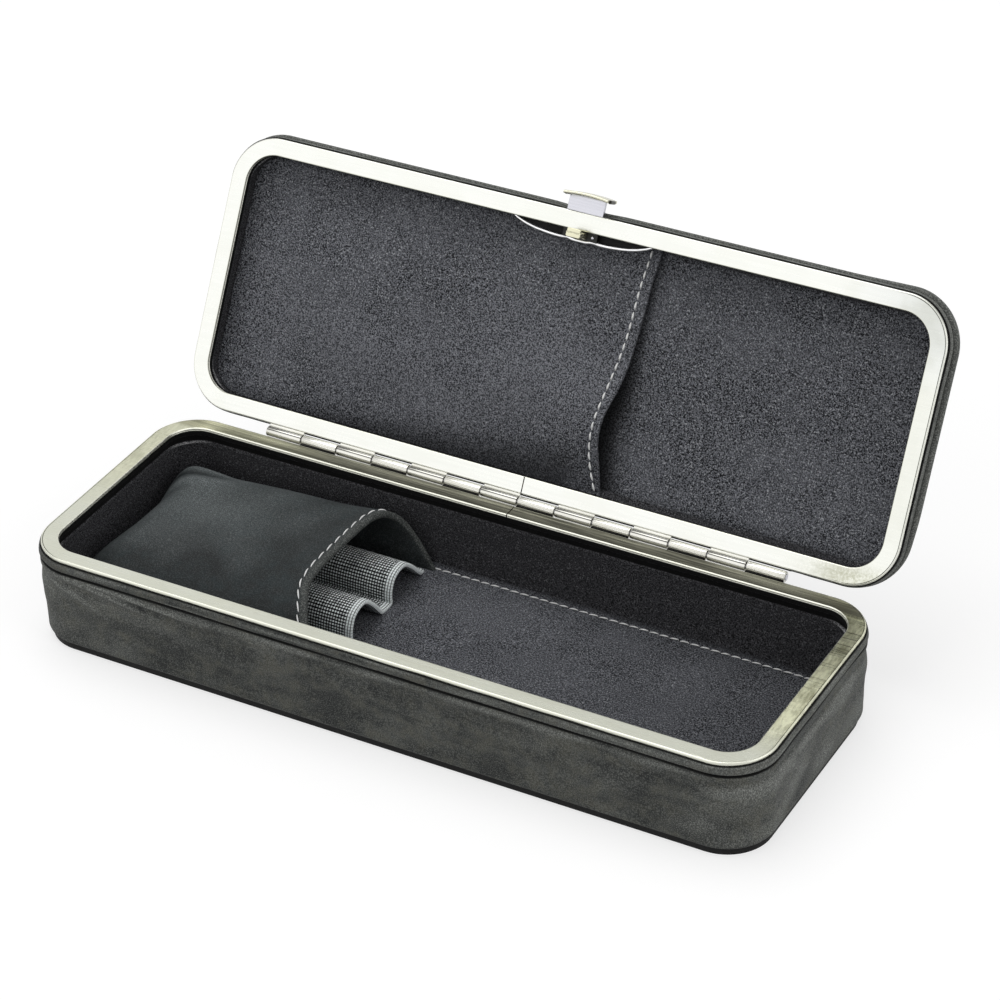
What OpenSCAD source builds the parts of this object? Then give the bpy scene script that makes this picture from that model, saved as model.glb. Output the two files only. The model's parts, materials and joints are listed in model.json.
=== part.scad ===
// Leather pen case: a framed base and a hinged lid that stands open.
// Each half is drawn with its mating face at z = 0 and its body below it.
// The base is then lifted to its height, and the lid is turned over and swung open.

/* [Case] */
// Length of the metal frame's outline
case_l = 200; // [185:1:230]
// Width of the metal frame's outline
case_w = 72; // [68:1:84]
// Corner radius of the frame's outline
corner_r = 12.5; // [11.5:0.5:16]
// Height of the base from the table to its mating face
base_h = 27.2; // [25:0.2:34]
// Height of the lid from its mating face to its top
lid_h = 10.6; // [10.4:0.1:14]
// Gap between the two frames when the case is shut
mate_gap = 0.3; // [0.2:0.05:0.5]
// Angle of the open lid from shut, in degrees
lid_open = 119; // [95:1:125]

/* [Metal frame] */
// Width of the frame's flat mating face
face_w = 4.5; // [4.3:0.1:6]
// Thickness of the frame's sheet metal
sheet_t = 0.6; // [0.5:0.05:0.7]
// Depth of the outer flange behind the collar
flange_h = 3.2; // [2.8:0.1:3.6]
// Depth of the inner lip
lip_h = 2; // [1.6:0.1:2.2]
// Rounding of the frame's edges
frame_edge_r = 0.35; // [0.2:0.05:0.5]
// Width of the butt seam at the middle of the hinge side
seam_w = 0.2; // [0.1:0.05:0.4]

/* [Leather cover] */
// Thickness of the cover leather
leather_t = 1.2; // [1:0.1:1.4]
// Thickness of the collar strip round the frame
collar_t = 0.6; // [0.5:0.05:0.9]
// Bare metal edge above the collar strip
collar_drop = 0.6; // [0.4:0.05:0.8]
// Height of the collar strip
collar_h = 2.7; // [2.4:0.1:3.2]
// Height of the groove under the collar strip
groove_h = 0.4; // [0.3:0.05:0.8]
// How far the cover swells out under the groove
shoulder_proud = 0.5; // [0.2:0.05:0.7]
// Height of the swell under the groove
shoulder_h = 2.3; // [1.5:0.1:4]
// Height over which the swell runs back to the wall
shoulder_run = 3.5; // [2:0.1:6]
// Width of the leather turned in under the base
cover_turn = 8; // [5:0.5:10]
// How far in the lid's rounded edge reaches
lid_edge_run = 8.9; // [8:0.1:10]
// How far the lid's rounded edge stands out at the groove
lid_proud = 0.8; // [0.3:0.1:1.2]

/* [Base] */
// Thickness of the bottom panel
panel_t = 1.8; // [1.2:0.1:2.4]
// How far the bottom panel stands in from the wall
panel_inset = 1; // [0.5:0.1:3]
// Thickness of the base's rigid wall
shell_t = 2; // [1.7:0.1:2.1]
// Thickness of the base's rigid floor
base_floor_t = 2.5; // [2:0.1:4]
// Thickness of the wall lining
lining_t = 0.7; // [0.5:0.05:0.8]
// Depth of the lining's top edge under the mating face
lining_drop = 3; // [2.8:0.1:4]
// Thickness of the card under the floor pad
board_t = 1; // [0.6:0.1:1.5]
// Thickness of the suede floor pad
pad_t = 1.3; // [1:0.1:3]
// Clearance round pieces that are laid in
lay_clear = 0.2; // [0.1:0.05:0.4]

/* [Pen pocket] */
// Thickness of the pocket leather
pocket_t = 1.4; // [1:0.1:2]
// Clearance between the pocket's closed end and the lining
pocket_clear = 0.8; // [0.4:0.1:2]
// Gap between the pocket's sides and the lining
pocket_side = 3.3; // [0.4:0.1:3.4]
// Height of the pocket at its closed end
pocket_end_h = 8; // [6:0.5:12]
// Depth of the pocket's crest under the mating face
crest_drop = 1.5; // [1.2:0.1:4]
// Place of the mouth's foot along the case
mouth_x = -18.6; // [-30:0.2:-10]
// How far the mouth's crest leans back from its foot
mouth_lean = 11.4; // [4:0.2:16]

/* [Pen loops] */
// Number of pen loops
loop_count = 3; // [2, 3]
// Gap between the pocket's sides and the row of loops
loop_side = 3.3; // [3:0.1:4]
// Least flat strip between two loops
loop_gap = 0.6; // [0.4:0.1:1]
// Outer radius of a loop, where the row leaves room for it
loop_r = 8.2; // [7:0.1:8.2]
// Thickness of the webbing
webbing_t = 1.2; // [0.8:0.1:1.6]
// Width of the webbing along the case
webbing_w = 25; // [20:1:30]
// How far the webbing stops short of the mouth's foot
webbing_short = 2.4; // [1:0.2:8]
// Width of the webbing's sewn end tabs
webbing_tab = 1.4; // [1:0.2:2]

/* [Hinge] */
// Number of knuckles along the hinge
knuckle_count = 14; // [8:2:20]
// Length of the hinge
hinge_l = 147.6; // [120:0.2:156]
// Radius of the knuckles
knuckle_r = 1.5; // [1.45:0.05:1.75]
// Gap between knuckles
knuckle_gap = 0.3; // [0.2:0.05:0.5]
// Radius of the hinge pin
pin_r = 0.8; // [0.6:0.05:0.9]
// Radial clearance round the hinge pin
pin_clear = 0.05; // [0.02:0.01:0.1]
// Distance of the hinge axis behind the frame's outline
hinge_back = 1.95; // [1.9:0.05:2.2]
// Thickness of the hinge leaves
leaf_t = 0.6; // [0.5:0.05:0.65]
// Depth of the hinge leaves under the mating face
leaf_h = 2.9; // [2.6:0.1:3.1]

/* [Lid inside] */
// Thickness of the lid's rigid top
lid_shell_t = 1.5; // [1.2:0.1:1.8]
// Thickness of the lid's suede panel
lid_suede_t = 0.8; // [0.6:0.1:1]
// Thickness of the lid's pocket flap
flap_t = 0.8; // [0.6:0.1:1]
// Height of the pocket behind the flap
flap_gap = 0.5; // [0.3:0.1:0.7]
// Width of the flap's glued hem
flap_hem = 2; // [1.5:0.1:4]
// Place of the flap's free edge along the case
flap_x = 19; // [-20:1:60]

/* [Latch] */
// Width of the sliding plate
plate_w = 10; // [8:0.5:12]
// Thickness of the sliding plate
plate_t = 1; // [0.8:0.1:1.1]
// Distance of the thumb pad from the frame's outline
pad_out = 4; // [3.8:0.1:6]
// Width of the thumb pad
thumb_w = 13; // [12:0.5:20]
// Height of the thumb pad
thumb_h = 6; // [5:0.5:7]
// Thickness of the thumb pad
thumb_t = 0.7; // [0.5:0.05:1]
// Radius of the pad's rolled ends
roll_r = 0.6; // [0.5:0.05:0.7]
// Clearance round the sliding plate
slide_clear = 0.3; // [0.2:0.05:0.35]
// Width of the catch block
catch_w = 4; // [3:0.2:5]
// Depth of the catch block
catch_d = 1.6; // [1.2:0.1:2]
// Height of the hooked nose
nose_h = 0.8; // [0.6:0.1:1.2]
// Reach of the hooked nose under the base's lip
nose_reach = 0.7; // [0.5:0.05:0.75]
// Radius of the latch rivets
rivet_r = 0.5; // [0.4:0.05:0.7]
// Height of the latch rivet heads
rivet_h = 0.35; // [0.25:0.05:0.5]
// Radius of the spring wire
wire_r = 0.3; // [0.25:0.05:0.3]
// Length of the spring between its lodged ends
spring_l = 40; // [32:1:48]

/* [Hidden] */
$fn = 48;

// Insets from the frame's outline
shell_in = leather_t + shell_t;
lining_in = shell_in + lining_t;
// Heights above the table
floor_z = panel_t + base_floor_t + board_t + pad_t;
// Depths under a half's mating face
groove_z = collar_drop + collar_h + groove_h;
base_cover_z = base_h - panel_t;
base_floor_z = base_cover_z - base_floor_t;
lid_top_z = lid_h - leather_t;
lid_inner_z = lid_top_z - lid_shell_t;
suede_z = lid_inner_z - lid_suede_t;
flap_z = suede_z - flap_gap;
// The lid's rigid edge is chamfered inside, so that it keeps its thickness round the bend
lid_chamfer_x = 1.7;
lid_chamfer_z = 1.9;
// Hinge axis behind the outline and above a half's mating face
axis_y = case_w / 2 + hinge_back;
axis_z = mate_gap / 2;
knuckle_pitch = hinge_l / knuckle_count;
strip_z = knuckle_r + slide_clear;
// Latch: the plate slides just behind the frame's face
plate_z = sheet_t + slide_clear;
slot_w = plate_w + 2 * slide_clear;
slot_z = plate_z + plate_t + slide_clear;
catch_in = face_w + slide_clear;
plate_in = catch_in + catch_d + slide_clear;
nose_z = lip_h + mate_gap + slide_clear;
guide_post = 1.6;
guide_w = slot_w + 2 * guide_post;
guide_t = 0.6;
thumb_low = plate_z + plate_t + 2;
rivet_x = catch_w / 2 + 3 * rivet_r;
// A cut that clears any wall
cut = 20;
eps = 0.02;

// Points of an arc about a centre, from one angle to another
function arc(x, y, rx, ry, from, to, steps) = [
    for (i = [0:steps])
        let (a = from + (to - from) * i / steps)
        [x + rx * cos(a), y + ry * sin(a)]
];

// The frame's rounded outline, moved in by an inset
module outline(inset) {
    l = case_l - 2 * inset;
    w = case_w - 2 * inset;
    r = corner_r - inset;
    square([l - 2 * r, w], center = true);
    square([l, w - 2 * r], center = true);
    for (x = [-1, 1], y = [-1, 1])
        translate([x * (l / 2 - r), y * (w / 2 - r)])
            circle(r);
}

// A plate of the outline between two heights
module plate(inset, low, high) {
    translate([0, 0, low])
        linear_extrude(high - low)
            outline(inset);
}

// A wall of the outline between two insets and two heights
module wall(outer, inner, low, high) {
    translate([0, 0, low])
        linear_extrude(high - low)
            difference() {
                outline(outer);
                outline(inner);
            }
}

// A profile of [inset, z] points carried round the outline
module swept(points) {
    for (m = [0, 1])
        mirror([0, m, 0])
            translate([-(case_l / 2 - corner_r), -case_w / 2, 0])
                rotate([90, 0, 90])
                    linear_extrude(case_l - 2 * corner_r)
                        polygon(points);
    for (m = [0, 1])
        mirror([m, 0, 0])
            translate([-case_l / 2, case_w / 2 - corner_r, 0])
                rotate([90, 0, 0])
                    linear_extrude(case_w - 2 * corner_r)
                        polygon(points);
    for (x = [0, 1], y = [0, 1])
        mirror([x, 0, 0])
            mirror([0, y, 0])
                translate([case_l / 2 - corner_r, case_w / 2 - corner_r, 0])
                    rotate_extrude(angle = 90)
                        polygon([for (p = points) [corner_r - p[0], p[1]]]);
}

// A half in its place: the base on the table, the lid turned over and swung open
module base_half() {
    translate([0, 0, base_h])
        children();
}

module lid_half() {
    translate([0, axis_y, base_h + axis_z])
        rotate([-lid_open, 0, 0])
            translate([0, -axis_y, axis_z])
                mirror([0, 0, 1])
                    children();
}

// A box in a half, given by its width about the middle and its span from the front outline
module front_box(width, from, to, low, high) {
    translate([-width / 2, -case_w / 2 + from, low])
        cube([width, to - from, high - low]);
}

// Metal frame, a bent channel with its butt seam at the hinge side
module frame_ring() {
    r = frame_edge_r;
    difference() {
        swept(concat(
            arc(r, -r, r, r, 180, 90, 3),
            arc(face_w - r, -r, r, r, 90, 0, 3),
            [
                [face_w, -lip_h],
                [face_w - sheet_t, -lip_h],
                [face_w - sheet_t, -sheet_t],
                [sheet_t, -sheet_t],
                [sheet_t, -flange_h],
                [0, -flange_h]
            ]
        ));
        translate([-seam_w / 2, case_w / 2 - cut / 2, -cut / 2])
            cube([seam_w, cut, cut]);
    }
}

// Leather strip round the frame's flange, left out where the hinge leaf lies
module collar_strip() {
    low = collar_drop + collar_h;
    r = collar_t / 2;
    gap_l = hinge_l + 2 * lay_clear;
    difference() {
        swept(concat(
            [[0, -low]],
            arc(-collar_t + r, -low + r, r, r, 270, 180, 3),
            arc(-collar_t + r, -collar_drop - r, r, r, 180, 90, 3),
            [[0, -collar_drop]]
        ));
        translate([-gap_l / 2, case_w / 2 - eps, -cut / 2])
            cube([gap_l, cut, cut]);
    }
}

// Hinge leaf with every second knuckle, starting at the first or at the second
module hinge_leaf(first) {
    difference() {
        union() {
            translate([-hinge_l / 2, case_w / 2, -leaf_h])
                cube([hinge_l, leaf_t, leaf_h - strip_z]);
            for (i = [first:2:knuckle_count - 1])
                translate([-hinge_l / 2 + i * knuckle_pitch + knuckle_gap / 2, 0, 0]) {
                    translate([0, case_w / 2, -leaf_h])
                        cube([knuckle_pitch - knuckle_gap, leaf_t, leaf_h + axis_z]);
                    translate([0, axis_y, axis_z])
                        rotate([0, 90, 0])
                            cylinder(r = knuckle_r, h = knuckle_pitch - knuckle_gap);
                }
        }
        translate([-hinge_l / 2 - 1, axis_y, axis_z])
            rotate([0, 90, 0])
                cylinder(r = pin_r + pin_clear, h = hinge_l + 2);
    }
}

// Dark panel that the case stands on
module bottom_panel() {
    color("#161616")
        plate(panel_inset, 0, panel_t);
}

// Leather wall with a swell under its groove, a gripped top edge and a turned-in bottom edge
module base_cover() {
    color("#4a4c4a")
        base_half()
            swept(concat(
                [
                    [sheet_t, -sheet_t],
                    [leather_t, -sheet_t],
                    [leather_t, -base_cover_z + leather_t],
                    [cover_turn, -base_cover_z + leather_t],
                    [cover_turn, -base_cover_z]
                ],
                arc(leather_t, -base_cover_z + leather_t, leather_t, leather_t, 270, 180, 5),
                [
                    [0, -groove_z - shoulder_h - shoulder_run],
                    [-shoulder_proud, -groove_z - shoulder_h],
                    [-shoulder_proud, -groove_z],
                    [sheet_t, -groove_z]
                ]
            ));
}

module base_collar() {
    color("#444744")
        base_half()
            collar_strip();
}

// Rigid tray, stepped underneath for the turned-in leather
module base_shell() {
    color("#6b5a45")
        base_half() {
            wall(leather_t, shell_in, -base_floor_z, -sheet_t);
            plate(leather_t, -base_cover_z + leather_t, -base_floor_z);
            plate(cover_turn + lay_clear, -base_cover_z, -base_cover_z + leather_t);
        }
}

module base_frame() {
    color("#c9c6b0")
        base_half()
            frame_ring();
}

module base_hinge_leaf() {
    color("#c4c3b6")
        base_half()
            hinge_leaf(1);
}

module hinge_pin() {
    color("#a8a79c")
        base_half()
            translate([-hinge_l / 2, axis_y, axis_z])
                rotate([0, 90, 0])
                    cylinder(r = pin_r, h = hinge_l);
}

// Suede glued inside the wall, under the frame's lip
module base_lining() {
    color("#19191b")
        base_half()
            wall(shell_in, lining_in, -base_floor_z, -lining_drop);
}

module floor_board() {
    color("#8a7a60")
        base_half()
            plate(lining_in + lay_clear, -base_floor_z, -base_floor_z + board_t);
}

module floor_pad() {
    color("#3e3e45")
        base_half()
            plate(lining_in + lay_clear, -base_floor_z + board_t, -base_h + floor_z);
}

// Pen pocket: half width and height at stations from the closed end to the mouth
pocket_left = -case_l / 2 + lining_in + pocket_clear;
pocket_half = case_w / 2 - lining_in - pocket_side;
crest_h = base_h - crest_drop - floor_z;
// The row of loops is spread over the pocket's width
loop_pitch = 2 * (pocket_half - loop_side) / loop_count;
loop_fit = min(loop_r, (loop_pitch - loop_gap) / 2);
pocket_round = corner_r - lining_in;
// Rise of the crest, as a share of the way from the closed end's height to the full height
pocket_stations = [
    [pocket_left, pocket_half - 0.7 * pocket_round, 0],
    [pocket_left + pocket_round, pocket_half, 0.5],
    [pocket_left + 3.5 * pocket_round, pocket_half, 0.85],
    [mouth_x, pocket_half, 1]
];
station_t = 0.5;

// Cross-section of the pocket, rounder at its shoulders than an ellipse
function shoulder(v) = sign(v) * pow(abs(v), 0.7);
function pocket_section(half, height, drop) = concat(
    [[half, -drop]],
    [for (a = [0:10:180]) [half * shoulder(cos(a)), height * shoulder(sin(a))]],
    [[-half, -drop]]
);

module pocket_block(inset, drop) {
    hull()
        for (s = pocket_stations)
            translate([s[0] + (s[0] == pocket_left ? inset : 0), 0, floor_z])
                rotate([90, 0, 90])
                    linear_extrude(station_t)
                        polygon(pocket_section(
                            s[1] - inset,
                            pocket_end_h + (crest_h - pocket_end_h) * s[2] - inset,
                            drop
                        ));
}

module pen_pocket() {
    color("#3a4042")
        difference() {
            pocket_block(0, 0.5);
            pocket_block(pocket_t, 1);
            translate([-case_l / 2, -case_w / 2, floor_z - cut])
                cube([case_l, case_w, cut]);
            translate([mouth_x, -case_w / 2, floor_z])
                rotate([0, -atan(mouth_lean / crest_h), 0])
                    translate([0, 0, -cut / 2])
                        cube([cut, case_w, 3 * cut]);
        }
}

// Elastic webbing in a row of loops, sewn down between them and at both ends
module loop_row(r) {
    for (i = [0:loop_count - 1])
        translate([(i - (loop_count - 1) / 2) * loop_pitch, 0])
            rotate(-90)
                circle(r);
}

module pen_loop_webbing() {
    half = (loop_count * loop_pitch - loop_gap) / 2 + webbing_tab;
    color("#7b8686")
        translate([mouth_x - webbing_short - webbing_w, 0, floor_z])
            rotate([90, 0, 90])
                linear_extrude(webbing_w)
                    difference() {
                        union() {
                            loop_row(loop_fit);
                            translate([-half, -1])
                                square([2 * half, webbing_t + 1]);
                        }
                        loop_row(loop_fit - webbing_t);
                        translate([-half - 1, -2 * loop_fit])
                            square([2 * half + 2, 2 * loop_fit]);
                    }
}

// Leather over the lid: a rounded edge from the groove up to a flat top
module lid_cover() {
    rise = lid_h - groove_z;
    color("#4a4c4a")
        lid_half() {
            difference() {
                swept(concat(
                    [[sheet_t, -sheet_t], [leather_t, -sheet_t]],
                    arc(
                        lid_edge_run, -groove_z,
                        lid_edge_run - leather_t, rise - leather_t, 180, 270, 6
                    ),
                    arc(lid_edge_run, -groove_z, lid_edge_run + lid_proud, rise, 270, 180, 6),
                    [[sheet_t, -groove_z]]
                ));
                front_box(slot_w, 0, leather_t + eps, -slot_z, 0);
            }
            plate(lid_edge_run, -lid_h, -lid_top_z);
        }
}

module lid_collar() {
    color("#444744")
        lid_half()
            difference() {
                collar_strip();
                front_box(slot_w, -cut, eps, -slot_z, 0);
            }
}

// Rigid lid, following the leather's bend, with a notch for the latch
module lid_shell() {
    color("#6b5a45")
        lid_half() {
            difference() {
                swept(concat(
                    [[shell_in, -sheet_t], [leather_t, -sheet_t]],
                    arc(
                        lid_edge_run, -groove_z,
                        lid_edge_run - leather_t, lid_top_z - groove_z, 180, 270, 6
                    ),
                    [
                        [lid_edge_run, -lid_inner_z],
                        [shell_in + lid_chamfer_x, -lid_inner_z],
                        [shell_in, -lid_inner_z + lid_chamfer_z]
                    ]
                ));
                front_box(guide_w + 2 * lay_clear, 0, shell_in + eps, -slot_z - guide_t - lay_clear, 0);
            }
            plate(lid_edge_run, -lid_top_z, -lid_inner_z);
        }
}

// Lid frame, slotted for the latch plate through its flange and its lip
module lid_frame() {
    color("#d9d7c6")
        lid_half()
            difference() {
                frame_ring();
                front_box(slot_w, -eps, sheet_t + eps, -slot_z, -sheet_t);
                front_box(slot_w, face_w - sheet_t - eps, face_w + eps, -lip_h - eps, -sheet_t);
            }
}

module lid_hinge_leaf() {
    color("#c4c3b6")
        lid_half()
            hinge_leaf(0);
}

module lid_lining() {
    color("#19191b")
        lid_half()
            wall(shell_in, lining_in, -lid_inner_z + lid_chamfer_z, -lining_drop);
}

module lid_panel() {
    color("#404046")
        lid_half()
            plate(shell_in + lid_chamfer_x + lay_clear, -lid_inner_z, -suede_z);
}

// Suede flap over the left of the lid, hemmed to the panel on three sides
module lid_pocket_flap() {
    hem_in = shell_in + lid_chamfer_x + lay_clear;
    color("#3e3e45")
        lid_half()
            difference() {
                union() {
                    plate(lining_in + lay_clear, -flap_z, -flap_z + flap_t);
                    wall(hem_in, hem_in + flap_hem, -suede_z, -flap_z);
                }
                translate([flap_x, -case_w, -cut])
                    cube([case_l, 2 * case_w, 2 * cut]);
            }
}

// Strap under the latch plate, standing on the back of the frame's face
module latch_guide() {
    from = leather_t + lay_clear;
    to = shell_in - lay_clear;
    color("#a8a79c")
        lid_half() {
            front_box(guide_w, from, to, -slot_z - guide_t, -slot_z);
            for (x = [-1, 1])
                translate([x * (slot_w + guide_post) / 2, 0, 0])
                    front_box(guide_post, from, to, -slot_z, -sheet_t);
        }
}

// Bowed spring wire: its ends lodge under the frame's lip, its middle bears on the plate
spring_end = spring_l / 2;
spring_rest = plate_in + wire_r + eps;
spring_route = [
    [0, spring_rest, plate_z + plate_t / 2],
    [0.16, spring_rest, plate_z + plate_t / 2],
    [0.32, spring_rest, lip_h - 0.1],
    [0.5, spring_rest, lip_h + wire_r],
    [0.7, spring_rest + 0.1, lip_h + wire_r + 0.05],
    [0.86, spring_rest - 0.5, lip_h + wire_r + 0.05],
    [0.95, face_w + 0.3, lip_h + wire_r + 0.05],
    [1, face_w - sheet_t - 0.3, lip_h + wire_r + 0.05]
];

// The route from the left end to the right end, in the half's own frame
spring_points = concat(
    [for (i = [len(spring_route) - 1:-1:1])
        let (p = spring_route[i]) [-p[0] * spring_end, p[1] - case_w / 2, -p[2]]],
    [for (p = spring_route) [p[0] * spring_end, p[1] - case_w / 2, -p[2]]]
);

function unit(v) = v / norm(v);

// A ring of points round a route's point, square to the route there
function wire_ring(route, i, r, sides) =
    let (
        along = unit(route[min(i + 1, len(route) - 1)] - route[max(i - 1, 0)]),
        across = unit(cross(along, [0, 0, 1])),
        up = cross(across, along)
    )
    [for (k = [0:sides - 1])
        route[i] + r * (cos(360 * k / sides) * across + sin(360 * k / sides) * up)];

module wire(route, r, sides) {
    rings = len(route);
    points = [for (i = [0:rings - 1]) each wire_ring(route, i, r, sides)];
    polyhedron(points, concat(
        [[for (k = [0:sides - 1]) k]],
        [for (i = [0:rings - 2], k = [0:sides - 1])
            let (a = i * sides + k, b = i * sides + (k + 1) % sides)
            each [[a, a + sides, b + sides], [a, b + sides, b]]],
        [[for (k = [sides - 1:-1:0]) (rings - 1) * sides + k]]
    ));
}

module latch_spring() {
    color("#d8d6c8")
        lid_half()
            wire(spring_points, wire_r, 8);
}

// Sliding plate with its thumb pad and the pad's rolled ends
module latch_button() {
    color("#d0cfc8")
        lid_half() {
            front_box(plate_w, -pad_out - eps, plate_in, -plate_z - plate_t, -plate_z);
            front_box(thumb_w, -pad_out - thumb_t, -pad_out, -thumb_low, -thumb_low + thumb_h);
            for (x = [-1, 1])
                translate([x * thumb_w / 2, -case_w / 2 - pad_out - thumb_t + roll_r, -thumb_low])
                    cylinder(r = roll_r, h = thumb_h);
        }
}

// Catch block on the plate's inner end, with a hooked nose for the base's lip
module latch_catch() {
    top = nose_z + nose_h;
    color("#cfc9a0")
        lid_half()
            translate([-catch_w / 2, -case_w / 2, 0])
                rotate([90, 0, 90])
                    linear_extrude(catch_w)
                        polygon([
                            [catch_in, -plate_z],
                            [catch_in + catch_d, -plate_z],
                            [catch_in + catch_d, top],
                            [catch_in - nose_reach / 2, top],
                            [catch_in - nose_reach, top - nose_h / 2],
                            [catch_in - nose_reach, nose_z],
                            [catch_in, nose_z]
                        ]);
}

// Rivets through the plate on both sides of the catch
module latch_rivets() {
    color("#b9b8ae")
        lid_half()
            for (x = [-1, 1])
                translate([x * rivet_x, -case_w / 2 + catch_in + catch_d / 2, -plate_z])
                    cylinder(r = rivet_r, h = rivet_h);
}

bottom_panel();
base_cover();
base_collar();
base_shell();
base_frame();
base_hinge_leaf();
hinge_pin();
base_lining();
floor_board();
floor_pad();
pen_pocket();
pen_loop_webbing();
lid_cover();
lid_collar();
lid_shell();
lid_frame();
lid_hinge_leaf();
lid_lining();
lid_panel();
lid_pocket_flap();
latch_guide();
latch_spring();
latch_button();
latch_catch();
latch_rivets();
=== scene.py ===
import json
import math

import bmesh
import bpy
import numpy as np
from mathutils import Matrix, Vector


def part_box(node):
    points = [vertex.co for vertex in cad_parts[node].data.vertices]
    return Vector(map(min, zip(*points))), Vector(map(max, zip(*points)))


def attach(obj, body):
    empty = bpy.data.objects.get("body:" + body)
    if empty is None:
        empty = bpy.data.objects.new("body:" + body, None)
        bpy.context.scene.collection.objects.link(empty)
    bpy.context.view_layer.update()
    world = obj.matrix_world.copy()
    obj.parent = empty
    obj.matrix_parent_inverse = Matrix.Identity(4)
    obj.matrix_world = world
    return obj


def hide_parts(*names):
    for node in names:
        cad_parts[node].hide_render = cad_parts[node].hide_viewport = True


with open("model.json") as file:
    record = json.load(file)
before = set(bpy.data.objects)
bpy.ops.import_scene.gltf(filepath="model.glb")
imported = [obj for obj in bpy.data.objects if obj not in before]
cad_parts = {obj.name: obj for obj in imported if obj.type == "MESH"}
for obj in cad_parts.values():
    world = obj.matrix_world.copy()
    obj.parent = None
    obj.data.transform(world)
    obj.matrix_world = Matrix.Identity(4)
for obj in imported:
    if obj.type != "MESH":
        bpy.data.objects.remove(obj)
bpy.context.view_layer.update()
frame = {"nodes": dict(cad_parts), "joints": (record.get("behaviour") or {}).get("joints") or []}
nodes = frame["nodes"]
print("frame loaded:", len(nodes), "nodes")

# The case, in millimetres: its outline, height and hinge are read from the frame
mm = 0.001
lowCorner, highCorner = [np.array(corner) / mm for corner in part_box("base_frame")]
hingeJoint = next(joint for joint in frame["joints"] if joint["type"] == "hinge")
case = {
    "length": highCorner[0] - lowCorner[0],
    "width": highCorner[1] - lowCorner[1],
    "baseHeight": highCorner[2],
    "cornerRadius": 12.5,
    "hingeY": hingeJoint["pos_m"][1] / mm,
    "hingeZ": hingeJoint["pos_m"][2] / mm,
    "openAngle": math.radians(hingeJoint["range_deg"][1]),
}
halfLength = case["length"] / 2
halfWidth = case["width"] / 2
floorDepth = case["baseHeight"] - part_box("floor_pad")[1][2] / mm
straightX = halfLength - case["cornerRadius"]
straightY = halfWidth - case["cornerRadius"]
quarter = case["cornerRadius"] * math.pi / 2
sideStarts = np.cumsum([0, straightX, quarter, 2 * straightY, quarter, 2 * straightX, quarter, 2 * straightY,
                        quarter, straightX])
roundTrip = sideStarts[-1]
frontMiddle = roundTrip / 2


# Distance round the outline from the middle of the hinge side, to a point and its outward direction
def outlineAt(arc):
    starts = np.array([
        [0, halfWidth], [-straightX, straightY], [-halfLength, straightY], [-straightX, -straightY],
        [-straightX, -halfWidth], [straightX, -straightY], [halfLength, -straightY], [straightX, straightY],
        [straightX, halfWidth],
    ])
    headings = np.radians([90, 90, 180, 180, 270, 270, 360, 360, 450])
    side = np.clip(np.searchsorted(sideStarts, arc, side="right") - 1, 0, len(headings) - 1)
    run = arc - sideStarts[side]
    bend = side % 2 == 1
    angle = headings[side] + np.where(bend, run / case["cornerRadius"], 0)
    outward = np.stack([np.cos(angle), np.sin(angle)], -1)
    along = np.stack([-np.sin(angle), np.cos(angle)], -1)
    step = np.where(bend[:, None], case["cornerRadius"] * outward, run[:, None] * along)
    return starts[side] + step, outward


# Sample distances between two places on the outline, closer together round the corners
def outlineArcs(step, start=0.0, end=roundTrip, cornerStep=1.3):
    pieces = []
    for k in range(len(sideStarts) - 1):
        spacing = cornerStep if k % 2 else step
        count = max(2, math.ceil((sideStarts[k + 1] - sideStarts[k]) / spacing))
        pieces.append(np.linspace(sideStarts[k], sideStarts[k + 1], count, endpoint=False))
    arcs = np.concatenate(pieces)
    inside = arcs[(arcs > start + 0.2 * step) & (arcs < end - 0.2 * step)]
    return np.concatenate([[start], inside, [end]])


# Half frame to row frame: the base is lifted, the lid is turned over and swung open about the hinge
def placeHalf(points, half):
    placed = np.array(points, dtype=float)
    if half == "base":
        placed[..., 2] += case["baseHeight"]
        return placed
    y = placed[..., 1] - case["hingeY"]
    z = case["hingeZ"] - case["baseHeight"] - placed[..., 2]
    c, s = math.cos(case["openAngle"]), math.sin(case["openAngle"])
    placed[..., 1] = case["hingeY"] + c * y + s * z
    placed[..., 2] = case["hingeZ"] - s * y + c * z
    return placed


# A profile of insets and depths carried round the outline
def carry(arc, inset, depth, half):
    point, outward = outlineAt(arc)
    inset, depth = np.broadcast_arrays(np.atleast_2d(inset), np.atleast_2d(depth))
    inset = np.broadcast_to(inset, (len(arc), inset.shape[1]))
    depth = np.broadcast_to(depth, inset.shape)
    flat = point[:, None] - inset[..., None] * outward[:, None]
    return placeHalf(np.concatenate([flat, -depth[..., None]], -1), half)


# A closed plate: rings run from a middle line out to the edge, round it and back in underneath
def platePoints(arc, edgeInset, edgeDepth, half, rings=14, lift=None):
    point, outward = outlineAt(arc)
    inset = np.atleast_2d(edgeInset)
    flat = point[:, None] - inset[..., None] * outward[:, None]
    reach = halfLength - halfWidth
    middle = np.stack([np.clip(point[:, 0], -reach, reach), np.zeros(len(arc))], -1)
    blend = (np.arange(rings) / rings)[None, :, None]
    top = middle[:, None] + blend * (flat[:, :1] - middle[:, None])
    low = flat[:, -1:] + (1 - blend[:, ::-1]) * (middle[:, None] - flat[:, -1:])
    xy = np.concatenate([top, flat, low], 1)
    depth = np.concatenate([np.full(rings, edgeDepth[0]), edgeDepth, np.full(rings, edgeDepth[-1])])
    depth = np.broadcast_to(depth, xy.shape[:2]).copy()
    if lift is not None:
        upper = rings + 1
        depth[:, :upper] -= lift(xy[:, :upper, 0], xy[:, :upper, 1])
    return placeHalf(np.concatenate([xy, -depth[..., None]], -1), half)


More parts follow.
